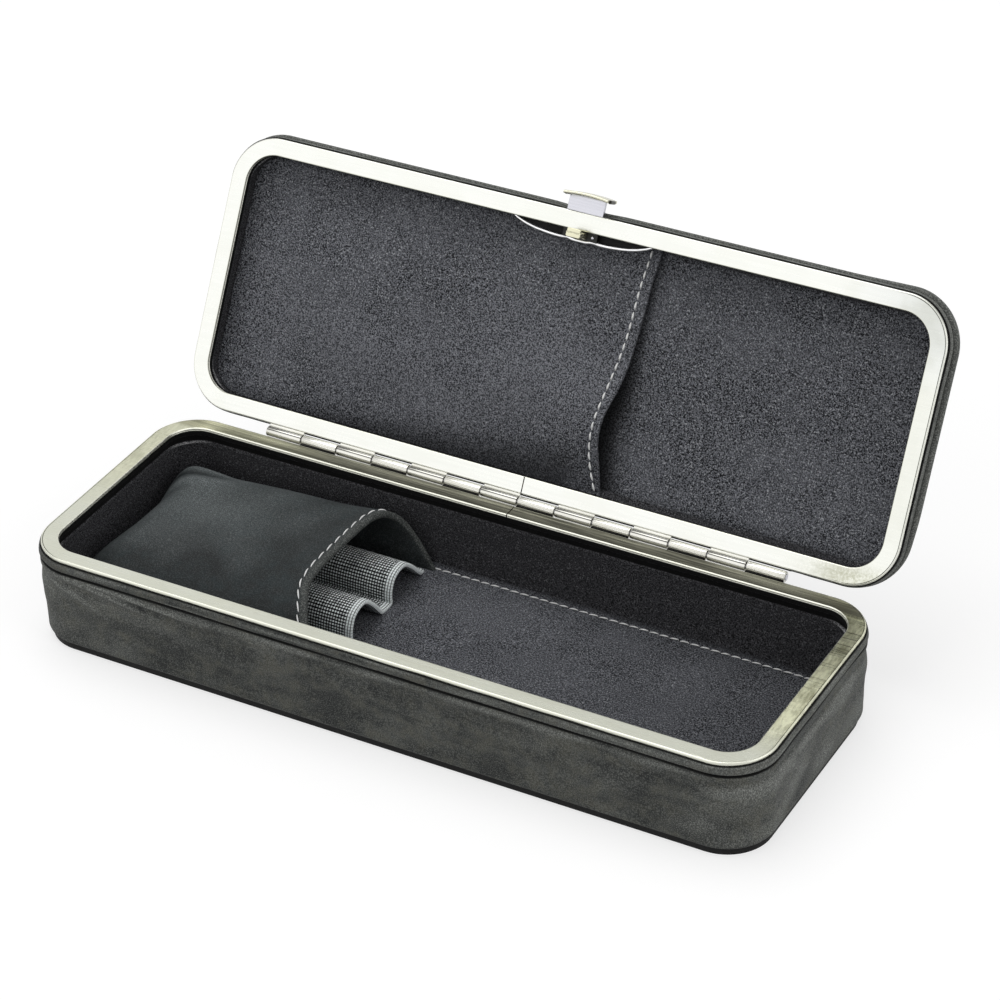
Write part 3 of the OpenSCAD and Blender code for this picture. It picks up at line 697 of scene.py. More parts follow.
# Collar strips: a slim leather binding with soft edges, left out behind the hinge
collar = {
    "top": 0.8, "gap": 0.1, "height": 2.5, "thickness": {"base": 0.6, "lid": 0.5}, "hingeGap": 74.2,
    "slotWidth": 10.6, "slotDepth": 2.2, "slotRun": 2.6, "shade": {"base": 0.1, "lid": 0.16},
    "foot": {"base": 1.0, "lid": 0.0}, "paleTone": {"base": 0.2, "lid": 0.45},
}
for half in ("base", "lid"):
    arc = outlineArcs(1.2, collar["hingeGap"], roundTrip - collar["hingeGap"], 0.8)
    way = np.linspace(0, 1, 17)[None, :]
    x = outlineAt(arc)[0][:, 0]
    bulge = np.sqrt(np.sin(math.pi * np.clip(way, 0.015, 0.985)) ** 0.5)
    bulge = bulge * (0.6 + 0.4 * smoothStep(0.0, 0.75, way))
    slot = np.zeros(len(arc))
    if half == "lid":
        halfSlot = collar["slotWidth"] / 2
        slot = 1 - smoothStep(halfSlot, halfSlot + collar["slotRun"], np.abs(arc - frontMiddle))
    top = collar["top"] + 0.05 * ripple(arc, 0, 14, 3) + slot * (collar["slotDepth"] - collar["top"])
    low = collar["top"] + collar["height"] + 0.04 * ripple(arc, 0, 18, 4)
    depth = top[:, None] + way * (low - top)[:, None]
    stand = collar["thickness"][half] * bulge * (1 + 0.1 * ripple(arc, 0, 9, 5)[:, None])
    stand = stand * (1 - 0.7 * slot)[:, None]
    if half == "lid":
        stand = stand * (1 + 0.4 * smoothStep(-88, -97, x))[:, None]
    # Painted shade: the strip is darkened just under the frame and, on the base, at its foot in the groove
    shade = collar["shade"][half]
    foot = collar["foot"][half] * smoothStep(0.94, 0.99, way)
    paintedShade = np.maximum(smoothStep(shade + 0.06, shade - 0.06, way), foot)
    # Paler: an even tone, higher on the lid, painted light towards the right end, and streaks along the strip
    rightLight = 0.4 * smoothStep(10, 80, x)[:, None]
    folds = 0.5 * ripple(arc[:, None] / 20, way * 2.5, 1.3, 6)  # these run along the strip
    highlightAndTone = collar["paleTone"][half] + rightLight + folds
    highlightAndTone = np.concatenate([np.clip(highlightAndTone, 0, 1), np.zeros((len(arc), 2))], 1)
    paintedShade = np.broadcast_to(np.concatenate([paintedShade[0], [1, 1]]), (len(arc), way.shape[1] + 2))
    inset = np.concatenate([-stand - collar["gap"], np.full((len(arc), 2), -collar["gap"])], 1)
    depth = np.concatenate([depth, low[:, None], top[:, None]], 1)
    part = gridPart(carry(arc, inset, depth, half), closeV=True, capU=True)
    piece = makePiece(half + "CollarStrip", [part], 60, marks={"paintedShade": paintedShade, "highlightAndTone": highlightAndTone})
    finishPiece(piece, collarLeather, half, "cover_leather", half + "_collar")

# Base cover: rolled at the groove, drawn in below it and swelling again, then turned in under the bottom
cover = {
    "thickness": 1.2, "top": 3.7, "bottom": case["baseHeight"] - 1.8, "roll": 1.2, "turn": 8.0,
    "uneven": 0.09, "grooveShadeEnd": 4.05, "stations": [3.7, 4.1, 4.7, 6.3, 8.0, 10.6, 14.0, 19.0, 25.4],
    "front": [0.0, 0.36, 0.46, 0.3, 0.22, 0.2, 0.1, 0.02, 0.0],
    "ends": [0.0, 0.36, 0.42, 0.04, 0.3, 0.52, 0.36, 0.08, 0.0],
}
# Gathers: distance from the front's middle and depth at both ends, width and height
gathers = [
    (-95, 4.4, -58, 9.6, 0.7, 0.5), (-90, 4.3, -42, 7.4, 0.5, 0.42), (-99, 5.2, -74, 14.0, 1.1, 0.42),
    (-82, 4.4, -52, 6.2, 0.4, 0.3), (-70, 5.0, -20, 7.6, 0.7, 0.26), (-40, 4.7, 16, 6.8, 0.7, 0.16),
    (6, 4.6, 58, 7.0, 0.7, 0.16), (50, 4.6, 90, 8.2, 0.8, 0.22),
    (-103, 5.0, -118, 14.0, 1.5, 0.3), (97, 5.0, 120, 13.0, 1.5, 0.26),
    (104, 6.0, 107, 20.0, 1.2, 0.2), (112, 7.0, 150, 11.5, 1.4, 0.25), (-84, 9.0, -30, 15.0, 2.2, 0.16),
    (20, 10.0, 80, 16.0, 2.4, 0.14),
]


def gatherHeight(arc, depth):
    total = np.zeros(np.broadcast(arc, depth).shape)
    for startX, startDepth, endX, endDepth, width, height in gathers:
        t = np.clip((arc - frontMiddle - startX) / (endX - startX), 0, 1)
        middle = blend(startDepth, endDepth, t ** 1.4)
        total += height * np.sin(math.pi * t) ** 0.7 * bell(depth, middle, width)
    return total


def makeBaseCover():
    arc = outlineArcs(1.0, cornerStep=0.7)[:-1]
    rolled = cover["top"] + np.array([0.0, 0.03, 0.12, 0.28, 0.46, 0.56, 0.66])
    depth = np.concatenate([rolled, np.linspace(4.5, cover["bottom"] - cover["roll"], 56)])
    atEnd = smoothStep(80, 97, np.abs(outlineAt(arc)[0][:, 0]))[:, None]
    swell = throughStations(cover["stations"], cover["front"], depth)[None]
    swell = swell + atEnd * (throughStations(cover["stations"], cover["ends"], depth)[None] - swell)
    swell = swell * (1 + 0.3 * ripple(arc[:, None], depth[None] * 0.5, 40, 13))
    wave = cover["uneven"] * ripple(arc[:, None], depth[None] * 1.6, 16, 11)
    wave = wave + 0.35 * cover["uneven"] * ripple(arc[:, None], depth[None], 5, 12)
    fold = gatherHeight(arc[:, None], depth[None])
    held = smoothStep(cover["top"], cover["top"] + 0.6, depth)[None]
    lift = np.maximum(swell + (wave + fold) * held, -0.2)
    lift[:, 0] = -0.6
    bottom = arcPoints((cover["roll"], cover["bottom"] - cover["roll"]), cover["roll"], 180, 90, 6)[1:]
    rest = np.concatenate([bottom, [
        [cover["turn"], cover["bottom"]], [cover["turn"], cover["bottom"] - cover["thickness"]],
        [cover["thickness"], cover["bottom"] - cover["thickness"]], [cover["thickness"], cover["top"] + 1.0],
    ]])
    inset = np.concatenate([-lift, np.broadcast_to(rest[:, 0], (len(arc), len(rest)))], 1)
    depths = np.concatenate([depth, rest[:, 1]])
    # Painted highlights on the gathers and swells, on the ridge below the groove and over the right end, and
    # pale patches near the left front corner
    patchy = smoothStep(-0.3, 0.9, ripple(arc[:, None], depth[None] * 2.0, 22, 14))
    ridge = bell(depth[None], 5.15, 0.75) * (1 - atEnd) + 0.8 * bell(depth[None], 8.6, 1.5) * atEnd
    right = smoothStep(72, 96, outlineAt(arc)[0][:, 0])[:, None] * smoothStep(6.2, 9.5, depth)[None]
    left = bell(arc - frontMiddle, -84, 22)[:, None] * (0.5 + 0.5 * patchy)
    highlightAndTone = fold * 1.7 + wave * 2.0 + 1.2 * ridge * (0.4 + 0.6 * patchy)
    highlightAndTone = highlightAndTone + 0.85 * right * (0.4 + 0.6 * patchy) + 0.5 * left
    highlightAndTone = np.clip(highlightAndTone - 0.08, 0, 1)
    highlightAndTone = np.concatenate([highlightAndTone, np.full((len(arc), len(rest)), 0.1)], 1)
    # Painted shade in the groove under the collar
    groove = smoothStep(cover["grooveShadeEnd"] + 0.14, cover["grooveShadeEnd"] - 0.02, depth)[None]
    under = np.clip(-0.9 * np.gradient(fold * held, depth, axis=1) - 0.06, 0, 0.75)  # painted shade below the gathers
    paintedShade = np.concatenate([np.maximum(groove, under), np.zeros((len(arc), len(rest)))], 1)
    part = gridPart(carry(arc, inset, depths[None], "base"), closeU=True, closeV=True)
    piece = makePiece("baseLeather", [part], 70, marks={"highlightAndTone": highlightAndTone, "paintedShade": paintedShade})
    finishPiece(piece, coverLeather, "base", "cover_leather", "base_cover")


makeBaseCover()

# Lid cover: swells out under the groove, then rounds over to a softly crowned top
lidCover = {
    "top": 3.7, "height": 10.6, "edgeRun": 8.9, "thickness": 1.2, "proud": 1.3, "crown": 0.3, "uneven": 0.05,
    "latchHalf": 8.0, "rings": 16, "plainTone": 0.09,
}


def makeLidCover():
    arc = outlineArcs(1.6, cornerStep=0.8)[:-1]
    rise = lidCover["height"] - lidCover["top"]
    centre, thick, rings = (lidCover["edgeRun"], lidCover["top"]), lidCover["thickness"], lidCover["rings"]
    outer = arcPoints(centre, (lidCover["edgeRun"], rise), 90, 180, 30)
    up = outer[:, 1] - lidCover["top"]
    swell = lidCover["proud"] * smoothStep(-0.05, 0.5, up) * (1 - smoothStep(1.5, rise - 0.3, up))
    pressed = 0.2 * np.exp(-(np.abs(arc - frontMiddle) / lidCover["latchHalf"]) ** 4)  # beside the latch
    inner = arcPoints(centre, (lidCover["edgeRun"] - thick, rise - thick), 180, 90, 8)
    edge = np.concatenate([outer, [[0.6, lidCover["top"]]], inner])
    inset = np.tile(edge[:, 0], (len(arc), 1))
    spot = outlineAt(arc)[0]
    fuller = (1 + 0.3 * smoothStep(70, 92, spot[:, 0])) * (1 - 0.65 * smoothStep(14, 36, spot[:, 1]))
    inset[:, :len(outer)] -= swell * (fuller * (1 - pressed))[:, None]

    def crown(x, y):
        near = (1 - (x / halfLength) ** 2) * (1 - (y / halfWidth) ** 2)
        return -lidCover["crown"] * near - lidCover["uneven"] * ripple(x, y, 22, 21)

    part = gridPart(platePoints(arc, inset, edge[:, 1], "lid", rings, crown), closeU=True)
    # Painted shade next to the groove
    paintedShade = np.zeros((len(arc), 2 * rings + len(edge)))
    fromGroove = edge[:, 1] - lidCover["top"]
    paintedShade[:, rings:rings + len(edge)] = 0.5 * smoothStep(0.3, 0.1, fromGroove) * (edge[:, 0] < 3)
    tints = 0.7 + 0.3 * smoothStep(0.9, 1.6, up) * (1 - smoothStep(2.6, 5.0, up))  # painted highlight on the rounding only
    highlightAndTone = np.full(paintedShade.shape, lidCover["plainTone"])
    highlightAndTone[:, rings:rings + len(outer)] = blend(tints, lidCover["plainTone"], smoothStep(3.2, 6.8, up))
    piece = makePiece("lidLeather", [part], 70, marks={"highlightAndTone": highlightAndTone, "paintedShade": paintedShade})
    finishPiece(piece, coverLeather, "lid", "cover_leather", "lid_cover")


makeLidCover()
print("leather covers made")

# Linings: black tape over the frame's lip, then suede down the wall, its rolled top loose in the corners
lining = {
    "outer": 3.2, "inner": 3.9, "tapeTop": 0.98, "tapeEnd": 2.1, "edge": {"base": 4.2, "lid": 2.7},
    "pucker": 0.55, "foot": 1.0,
}
liningBottoms = {"base": floorDepth + 1.2, "lid": 7.3}


def makeLining(half):
    arc = outlineArcs(1.4, cornerStep=0.7)[:-1]
    side = np.searchsorted(sideStarts, arc, side="right") - 1
    turn = np.where(side % 2 == 1, np.sin(math.pi * (arc - sideStarts[side]) / quarter), 0)[:, None]
    start, bottom = lining["edge"][half], liningBottoms[half]
    tape = np.array([
        [4.41, lining["tapeTop"]], [4.48, 1.0], [4.5, 1.08], [4.5, 2.0], [4.42, lining["tapeEnd"]],
        [3.75, 2.2], [3.66, 2.5], [3.64, start - 0.12],
    ])
    edge = start + np.array([-0.1, 0.0, 0.15, 0.35, 0.6])
    depth = np.concatenate([edge, np.linspace(start + 1.0, bottom, 22)])
    roll = bell(depth - start, 0.2, 0.45)[None]
    loose = 0.12 * np.abs(ripple(arc[:, None], depth[None], 13, 31))
    loose = loose * smoothStep(start, start + 3, depth)[None]
    wall = lining["inner"] - 0.2 * (depth < start)[None] - loose + roll * (0.1 + lining["pucker"] * turn ** 2)
    if half == "base":
        wall = wall + lining["foot"] * smoothStep(bottom - 5, bottom - 1, depth)[None]
    if half == "lid":  # the lid's shell rounds in towards its top
        low = np.clip((depth - 3.7) / 4.2, 0, 0.99)
        wall = np.maximum(wall, (8.9 - 6.0 * np.sqrt(1 - low ** 2))[None])
    back = np.array([[min(wall[:, -1].max(), 5.6), bottom + 0.05], [lining["outer"], min(bottom, 6.0)],
                     [lining["outer"], 2.2], [4.41, 2.15]])
    rows = len(arc)
    inset = np.concatenate([np.broadcast_to(tape[:, 0], (rows, len(tape))), wall,
                            np.broadcast_to(back[:, 0], (rows, len(back)))], 1)
    depths = np.concatenate([tape[:, 1], depth, back[:, 1]])
    marks = {"tape": np.zeros(inset.shape), "rimHighlight": np.zeros(inset.shape)}
    marks["tape"][:, :len(tape)] = 1
    # Partly pale scuffing, partly a painted highlight on the rolled top where it stands loose in the corners
    marks["rimHighlight"][:, len(tape):len(tape) + len(depth)] = roll * (0.06 + 0.9 * turn)
    part = gridPart(carry(arc, inset, depths[None], half), closeU=True, closeV=True)
    piece = makePiece(half + "WallLining", [part], 60, marks=marks)
    return finishPiece(piece, blackSuede, half, "black_suede", half + "_lining")


for half in liningBottoms:
    makeLining(half)

# Gap from a place in the case to the nearest wall, corners left out
def wallGap(x, y):
    return np.minimum(halfWidth - np.abs(y), halfLength - np.abs(x))


# Floor pad: suede over card, pressed down along the stitch row near the hinge side
pad = {"inset": 4.1, "thickness": 1.3, "edge": 0.5, "uneven": 0.08, "stitchY": 28.7, "stitchDip": 0.25}


def padLift(x, y):
    dip = pad["stitchDip"] * bell(y, pad["stitchY"], 0.5) * smoothStep(-22, -18, x)
    return (pad["uneven"] * ripple(x, y, 20, 41) - dip) * smoothStep(0.0, 2.0, wallGap(x, y) - pad["inset"])


def slabEdge(inset, top, thickness, edge):
    upper = arcPoints((inset + edge, top + edge), edge, 270, 180, 4)
    return np.concatenate([upper, [[inset, top + thickness]]])


edge = slabEdge(pad["inset"], floorDepth, pad["thickness"], pad["edge"])
arc = outlineArcs(1.0, cornerStep=0.8)[:-1]
grid = platePoints(arc, edge[:, 0], edge[:, 1], "base", 60, padLift)
# Painted shade: the floor is darker towards the right end and close to the walls
nearWall = np.maximum(wallGap(grid[..., 0], grid[..., 1]) - 4.9, 0)
shade = 0.15 + 0.16 * smoothStep(-10, 70, grid[..., 0]) + 0.45 * bell(nearWall, 0, 1.6)
floorSuede = makePiece("floorSuede", [gridPart(grid, closeU=True)], 60, marks={"shade": shade})
finishPiece(floorSuede, greySuede, "base", "grey_suede", "floor_pad")
print("linings and floor made")

# Pen pocket: a leather hood from the left end to a mouth that leans back, closed by the floor
pocket = {
    "left": -95.3, "halfWidth": 28.8, "endHalf": (25.0, 27.6), "endRun": 8.0, "thickness": 1.4,
    "mouthFoot": (-19.8, -17.2), "mouthTop": -32.2, "flare": 1.4, "stitchBack": 1.8,
    "stations": [-95.3, -93.5, -88, -76, -60, -45, -28, -18],
    "heights": [5.4, 8.0, 12.7, 14.0, 15.3, 16.5, 18.7, 18.7],
    "shoulder": (0.38, 0.73), "lean": (1.17, 1.24), "uneven": 0.2, "hem": 1.7,  # pairs: back and front
    "hump": 2.5, "humpX": -91.2, "humpRun": 4.6, "dip": 2.6, "dipRun": 7.0,
}
floorZ = -floorDepth


# Superellipse across the case: its power is lower at the back, where the leather stands up more squarely
def pocketSection(angle):
    power = blend(*pocket["shoulder"], smoothStep(0.3, -0.3, np.cos(angle)))
    across = np.sign(np.cos(angle)) * np.abs(np.cos(angle)) ** power
    return across, np.clip(np.abs(np.sin(angle)) ** power, 0, 1)


def pocketMouth(across, up):
    toFront = smoothStep(0.35, -0.55, across)
    foot = blend(*pocket["mouthFoot"], toFront)
    flare = pocket["flare"] * smoothStep(-0.42, -0.74, across)
    return blend(foot, pocket["mouthTop"], up ** blend(*pocket["lean"], toFront)) + flare


# Folds that run from the hump at the closed end's back corner: two ridges and the valley between them
def pocketFolds(x, across):
    fade = smoothStep(-95, -91, x) * (1 - smoothStep(-85, -73, x))
    low = bell(across - 0.58, 0.011 * (x + 92), 0.05)
    high = bell(across, 0.9, 0.04)
    valley = bell(across - 0.75, 0.006 * (x + 92), 0.05)
    return fade * (low + 0.8 * high), fade * valley


# along runs 0 to 1 from the left end to the mouth, angle from 180 at the front foot to 0 at the back foot
def pocketPoints(along, angle, shrink=0.0):
    across, up = pocketSection(angle)
    left = pocket["left"] + shrink
    x = left + along * (pocketMouth(across, up) - left)
    height = throughStations(pocket["stations"], pocket["heights"], x) - shrink
    run = smoothStep(pocket["left"], pocket["left"] + pocket["endRun"], x)
    endHalf = blend(*pocket["endHalf"], smoothStep(0.0, 0.5, across))
    half = blend(endHalf, pocket["halfWidth"], run) - shrink
    hump = bell(x, pocket["humpX"], pocket["humpRun"]) * smoothStep(0.4, 0.88, across)
    dip = bell(x, pocket["left"], pocket["dipRun"])
    dip = dip * smoothStep(-0.6, 0.15, across) * (1 - smoothStep(0.5, 0.88, across))
    height = height + pocket["hump"] * hump - pocket["dip"] * dip
    sag = pocket["uneven"] * ripple(x, across * 30, 34, 51) * up * smoothStep(-95, -88, x)
    ridges, valley = pocketFolds(x, across)
    lift = height * up + sag + (0.45 * ridges - 0.55 * valley) * up
    return np.stack([x, half * across, floorZ + np.maximum(lift, 0)], -1)


def makePocket():
    along = np.concatenate([np.linspace(0, 0.16, 20, endpoint=False), np.linspace(0.16, 1, 80)])[:, None]
    angle = np.radians(np.linspace(180, 0, 121))[None, :]
    outer = pocketPoints(along, angle)
    inner = pocketPoints(along, angle, pocket["thickness"])[::-1]
    mouthOut, mouthIn = outer[-1], inner[0]
    turn = np.linspace(0, math.pi, 8)[1:-1, None, None]
    rolled = (mouthOut + mouthIn) / 2 + (mouthOut - mouthIn) / 2 * np.cos(turn)
    rolled = rolled + np.array([pocket["thickness"] / 2, 0, 0]) * np.sin(turn)
    footOut, footIn = outer[:1].copy(), inner[-1:].copy()
    footOut[..., 2] = floorZ
    footIn[..., 2] = floorZ
    grid = np.concatenate([footOut, outer, rolled, inner, footIn])
    fromMouth = np.concatenate([footOut, outer, rolled * 0 + mouthOut, inner, footIn])[..., 0]
    band = smoothStep(pocket["hem"], pocket["hem"] - 0.8, np.abs(mouthOut[None, :, 0] - fromMouth))
    band[-len(inner) - 1:] *= 0.35
    across = np.broadcast_to(pocketSection(angle)[0], outer.shape[:2])
    # Painted light and shade: paler at the closed end's back, on the fold ridges and along the left rim,
    # darker at the front and in the fold valley
    pocketLight = np.zeros(band.shape)
    litShare = smoothStep(-0.95, 0.35, across) * (1 - 0.55 * smoothStep(0.3, 0.95, along))
    litShare = litShare + 0.16 * ripple(outer[..., 0], across * 30, 16, 52)
    litShare = litShare + 0.3 * bell(outer[..., 0], -90, 9) * smoothStep(0.1, -0.5, across)
    ridges, valley = pocketFolds(outer[..., 0], across)
    rimHighlight = bell(outer[..., 0], pocket["left"], 0.9)
    litShare = litShare + 0.9 * ridges - 0.8 * valley + 0.8 * rimHighlight
    pocketLight[1:1 + len(outer)] = np.clip(-0.2 + 0.92 * litShare, 0, 1)
    pocketLight[-len(inner) - 1:] = 0.2
    part = gridPart(placeHalf(grid, "base"), closeU=True, capV=True)
    piece = makePiece("penPocket", [part], 60, marks={"hem": band, "pocketLight": pocketLight})
    return finishPiece(piece, pocketLeather, "base", "pocket_leather", "pen_pocket")


penPocket = makePocket()

# Pen loops: one elastic band over a row of arches, steep at the front and slanting at the back
webbing = {
    "thickness": 1.2, "left": -46.0, "right": -21.0, "ends": (-27.5, 25.6),
    "loops": [(-26.6, 12.6, 7.6), (-10.2, 15.5, 8.8), (9.2, 15.5, 8.0)],  # front foot, width and height
    "ribPitch": 0.74, "dashPitch": 0.76, "selvage": 1.9,
}


def loopRoute():
    stepsY = np.array([0.0, 0.012, 0.04, 0.14, 0.33, 0.52, 0.73, 0.9, 1.0])
    stepsZ = np.array([0.07, 0.3, 0.59, 0.88, 1.0, 0.94, 0.6, 0.24, 0.07])
    y, z = [webbing["ends"][0]], [0.6]
    for start, width, height in webbing["loops"]:
        y += list(start + width * stepsY)
        z += list(height * stepsZ)
    y.append(webbing["ends"][1])
    z.append(0.6)
    corner = np.arange(len(y), dtype=float)
    fine = np.linspace(0, corner[-1], 1200)
    route = np.stack([throughStations(corner, y, fine), throughStations(corner, z, fine)], -1)
    length = runLength(route)
    even = np.linspace(0, length[-1], int(length[-1] / 0.3))
    return np.stack([np.interp(even, length, line) for line in route.T], -1), even


def makeWebbing():
    route, run = loopRoute()
    along = np.gradient(route, axis=0)
    along /= np.linalg.norm(along, axis=1, keepdims=True)
    normal = np.stack([-along[:, 1], along[:, 0]], -1)
    ends = np.array([0.0, 0.08, 0.2, 0.35])
    left, right = webbing["left"], webbing["right"]
    x = np.concatenate([left + ends, np.linspace(left + 1, right - 1, 40), right - ends[::-1]])
    fromEdge = np.minimum(x - left, right - x)[:, None]
    side = webbing["thickness"] / 2 * np.sqrt(np.clip(fromEdge / 0.3, 0.02, 1)) + 0 * run[None]
    flat = np.broadcast_to(route, (len(x),) + route.shape)
    outer = flat + side[..., None] * normal
    inner = (flat - side[..., None] * normal)[:, ::-1]
    ring = np.concatenate([outer, inner], 1)
    ring[..., 1] = np.maximum(ring[..., 1], 0.02)
    grid = np.concatenate([np.broadcast_to(x[:, None, None], ring.shape[:2] + (1,)), ring], -1)
    grid[..., 2] += floorZ
    row = np.concatenate([run, run[::-1]]) / webbing["ribPitch"]
    column = (right - x)[:, None]
    selvage = smoothStep(webbing["selvage"] + 0.1, webbing["selvage"] - 0.1, column)
    marks = {
        "row": np.tile(row, (len(x), 1)), "column": np.tile(column / webbing["dashPitch"] + 0.5, len(row)),
        "selvage": np.tile(selvage, len(row)),
    }
    part = gridPart(placeHalf(grid, "base"), closeV=True, capU=True)
    piece = makePiece("penLoops", [part], 60, marks=marks)
    return finishPiece(piece, elasticWebbing, "base", "elastic_webbing", "pen_loop_webbing")


penLoops = makeWebbing()
print("pocket and loops made")

# Lid panel: suede on the lid's inside, with painted shade under the flap's edge and along the frame
lidPanel = {"inset": 4.0, "depth": 7.1, "thickness": 0.8, "edge": 0.3, "uneven": 0.1}
flap = {
    "inset": 4.1, "depth": 5.8, "thickness": 0.8, "uneven": 0.25,
    "edgeY": [-32, -29.6, -24.2, -10.9, 4.0, 13.2, 19.6, 25.7, 30.2, 32],
    "edgeX": [20.6, 20.5, 20.1, 19.6, 18.2, 16.2, 16.1, 17.2, 18.1, 18.5],
    "stitchY": [-32, -29.6, -21.6, -8.0, 5.0, 15.5, 22.2, 30.8, 32],
    "stitchX": [18, 18, 17.4, 16.9, 15.3, 14.1, 14.2, 16.8, 17.3],
    "liftAt": 15.0, "lift": 3.1, "belly": 2.6,
}


# Painted shadow beside the flap's free edge, and painted shade along the frame
def panelShade(arc, edge):
    xy = platePoints(arc, edge[:, 0], edge[:, 1], "base", 30)
    x, y = xy[..., 0], xy[..., 1]
    beyond = np.maximum(x - throughStations(flap["edgeY"], flap["edgeX"], np.clip(y, -32, 32)), 0)
    fold = bell(beyond, 0, 1.7 + 3.0 * smoothStep(-12, 16, y)) * (0.5 + 0.45 * smoothStep(-15, 10, y))
    return np.maximum(fold, 0.55 * bell(np.maximum(wallGap(x, y) - 4.3, 0), 0, 1.5))


edge = slabEdge(lidPanel["inset"], lidPanel["depth"], lidPanel["thickness"], lidPanel["edge"])
arc = outlineArcs(2.0, cornerStep=1.0)[:-1]
grid = platePoints(
    arc, edge[:, 0], edge[:, 1], "lid", 30, lambda x, y: lidPanel["uneven"] * ripple(x, y, 30, 61))
lidSuede = makePiece("lidSuede", [gridPart(grid, closeU=True)], 60, marks={"shade": panelShade(arc, edge)})
finishPiece(lidSuede, greySuede, "lid", "grey_suede", "lid_panel")


# Lid flap: a suede sheet over the left of the lid, its right edge free and lifted in a soft wave
def flapPoints(x, y, below=0.0):
    edgeX = throughStations(flap["edgeY"], flap["edgeX"], y)
    nearEdge = smoothStep(26.0, 0.0, edgeX - x)
    apart = (y - flap["liftAt"]) / np.where(y > flap["liftAt"], 8.5, 13.0)
    wave = flap["lift"] * np.exp(-apart ** 2) * (0.35 * nearEdge + 0.65 * nearEdge ** 2)
    side = smoothStep(0, 7, np.minimum(halfWidth - flap["inset"] - np.abs(y), x + halfLength - flap["inset"]))
    soft = flap["uneven"] * ripple(x, y, 38, 71) * side
    belly = smoothStep(-32, -4, y) * (1 - smoothStep(7, 31, y))
    belly = belly * smoothStep(0, 34, x + halfLength - flap["inset"])
    belly = flap["belly"] * belly * (1 - 0.75 * nearEdge)
    depth = flap["depth"] + below - wave - soft - belly - 0.35 * nearEdge * side
    return np.stack([x, y, -depth], -1)


def makeFlap():
    y = np.linspace(-halfWidth + flap["inset"], halfWidth - flap["inset"], 90)[None, :]
    corner = case["cornerRadius"] - flap["inset"]
    overCorner = np.clip(np.abs(y) - straightY, 0, corner)
    left = -straightX - np.sqrt(corner ** 2 - overCorner ** 2)
    edgeX = throughStations(flap["edgeY"], flap["edgeX"], y)
    along = np.linspace(0, 1, 110)[:, None]
    x = left + along * (edgeX - left)
    y = np.broadcast_to(y, x.shape)
    upper, lower = flapPoints(x, y), flapPoints(x, y, flap["thickness"])[::-1]
    grid = np.concatenate([upper, lower])
    x, y = np.concatenate([x, x[::-1]]), np.concatenate([y, y[::-1]])
    # Painted highlight on the flap's belly and left part
    glow = 0.5 * bell(x, -2, 26) * bell(y, 4, 13) + 0.4 * bell(x, -40, 30) * bell(y, 13, 11)
    glow = glow + 0.25 * bell(x, -84, 15) * bell(y, 3, 16) + 0.1 * ripple(x, y, 30, 73)
    # Painted shade towards the hinge side and along the opposite edge
    shade = 0.75 * smoothStep(19, 29, y + 0.1 * x) * (1 - 0.6 * smoothStep(6, 14, x))
    shade = np.maximum(shade, 0.5 * smoothStep(-29.5, -31.5, y))
    marks = {"glow": np.clip(glow, 0, 1), "shade": np.clip(shade, 0, 1)}
    piece = makePiece("lidFlap", [gridPart(placeHalf(grid, "lid"), closeU=True, capV=True)], 60, marks=marks)
    return finishPiece(piece, greySuede, "lid", "grey_suede", "lid_pocket_flap")


lidFlap = makeFlap()
print("lid inside made")

# Stitches: each is a short thread that rises out of the leather and dives back into it
stitch = {
    "floor": {"length": 2.35, "gap": 0.45, "radius": 0.2, "rise": 0.12, "slant": 0.3},
    "pocket": {"length": 3.4, "gap": 0.5, "radius": 0.2, "rise": 0.14, "slant": 0.4},
    "flap": {"length": 2.15, "gap": 0.5, "radius": 0.28, "rise": 0.18, "slant": 0.15},
}


def stitchRow(name, route, normal, body, slot, values):
    length = runLength(route)
    parts, t = [], np.linspace(0, 1, 10)
    for start in np.arange(0.3, length[-1] - values["length"], values["length"] + values["gap"]):
        at = start + t * values["length"]
        line, up = [
            np.stack([np.interp(at, length, column) for column in lines.T], -1) for lines in (route, normal)
        ]
        rise = values["rise"] * (1.6 * np.sin(math.pi * t) ** 0.5 - 0.6)
        aside = np.cross(up, line[-1] - line[0])
        aside = values["slant"] * (t - 0.5)[:, None] * aside / np.linalg.norm(aside, axis=1, keepdims=True)
        radius = values["radius"] * np.sqrt(np.clip(np.sin(math.pi * np.clip(t, 0.04, 0.96)), 0.05, 1))
        parts.append(tubePart(line + rise[:, None] * up + aside, radius, 6))
    piece = makePiece(name, parts, 80)
    return finishPiece(piece, sewingThread, body, slot)


x = np.linspace(-20.5, 89, 200)
route = placeHalf(np.stack([x, np.full(200, pad["stitchY"]), np.full(200, floorZ - 0.05)], -1), "base")
stitchRow("floorStitches", route, np.tile([0, 0, 1.0], (200, 1)), "base", "grey_suede", stitch["floor"])



# Directions square to a sheet along a route on it, from the route and another beside it
def squareTo(route, beside):
    normal = np.cross(np.gradient(route, axis=0), beside - route)
    return normal / np.linalg.norm(normal, axis=1, keepdims=True)


angle = np.radians(np.linspace(172, 8, 240))
mouthX = pocketMouth(*pocketSection(angle))
share = 1 - pocket["stitchBack"] / (mouthX - pocket["left"])
route = pocketPoints(share, angle)
normal = squareTo(route, pocketPoints(share - 0.01, angle))
normal *= np.sign((normal * (route - [-60, 0, floorZ])).sum(1, keepdims=True))
stitchRow("pocketStitches", placeHalf(route, "base"), normal, "base", "pocket_leather", stitch["pocket"])

y = np.linspace(-31.0, 31.9, 200)
x = throughStations(flap["stitchY"], flap["stitchX"], y)
route = flapPoints(x, y)
normal = squareTo(route, flapPoints(x - 0.5, y))
normal *= np.sign(normal[:, 2:])
tip = placeHalf(route + normal, "lid")
route = placeHalf(route, "lid")
stitchRow("flapStitches", route, tip - route, "lid", "grey_suede", stitch["flap"])
print("stitches made")

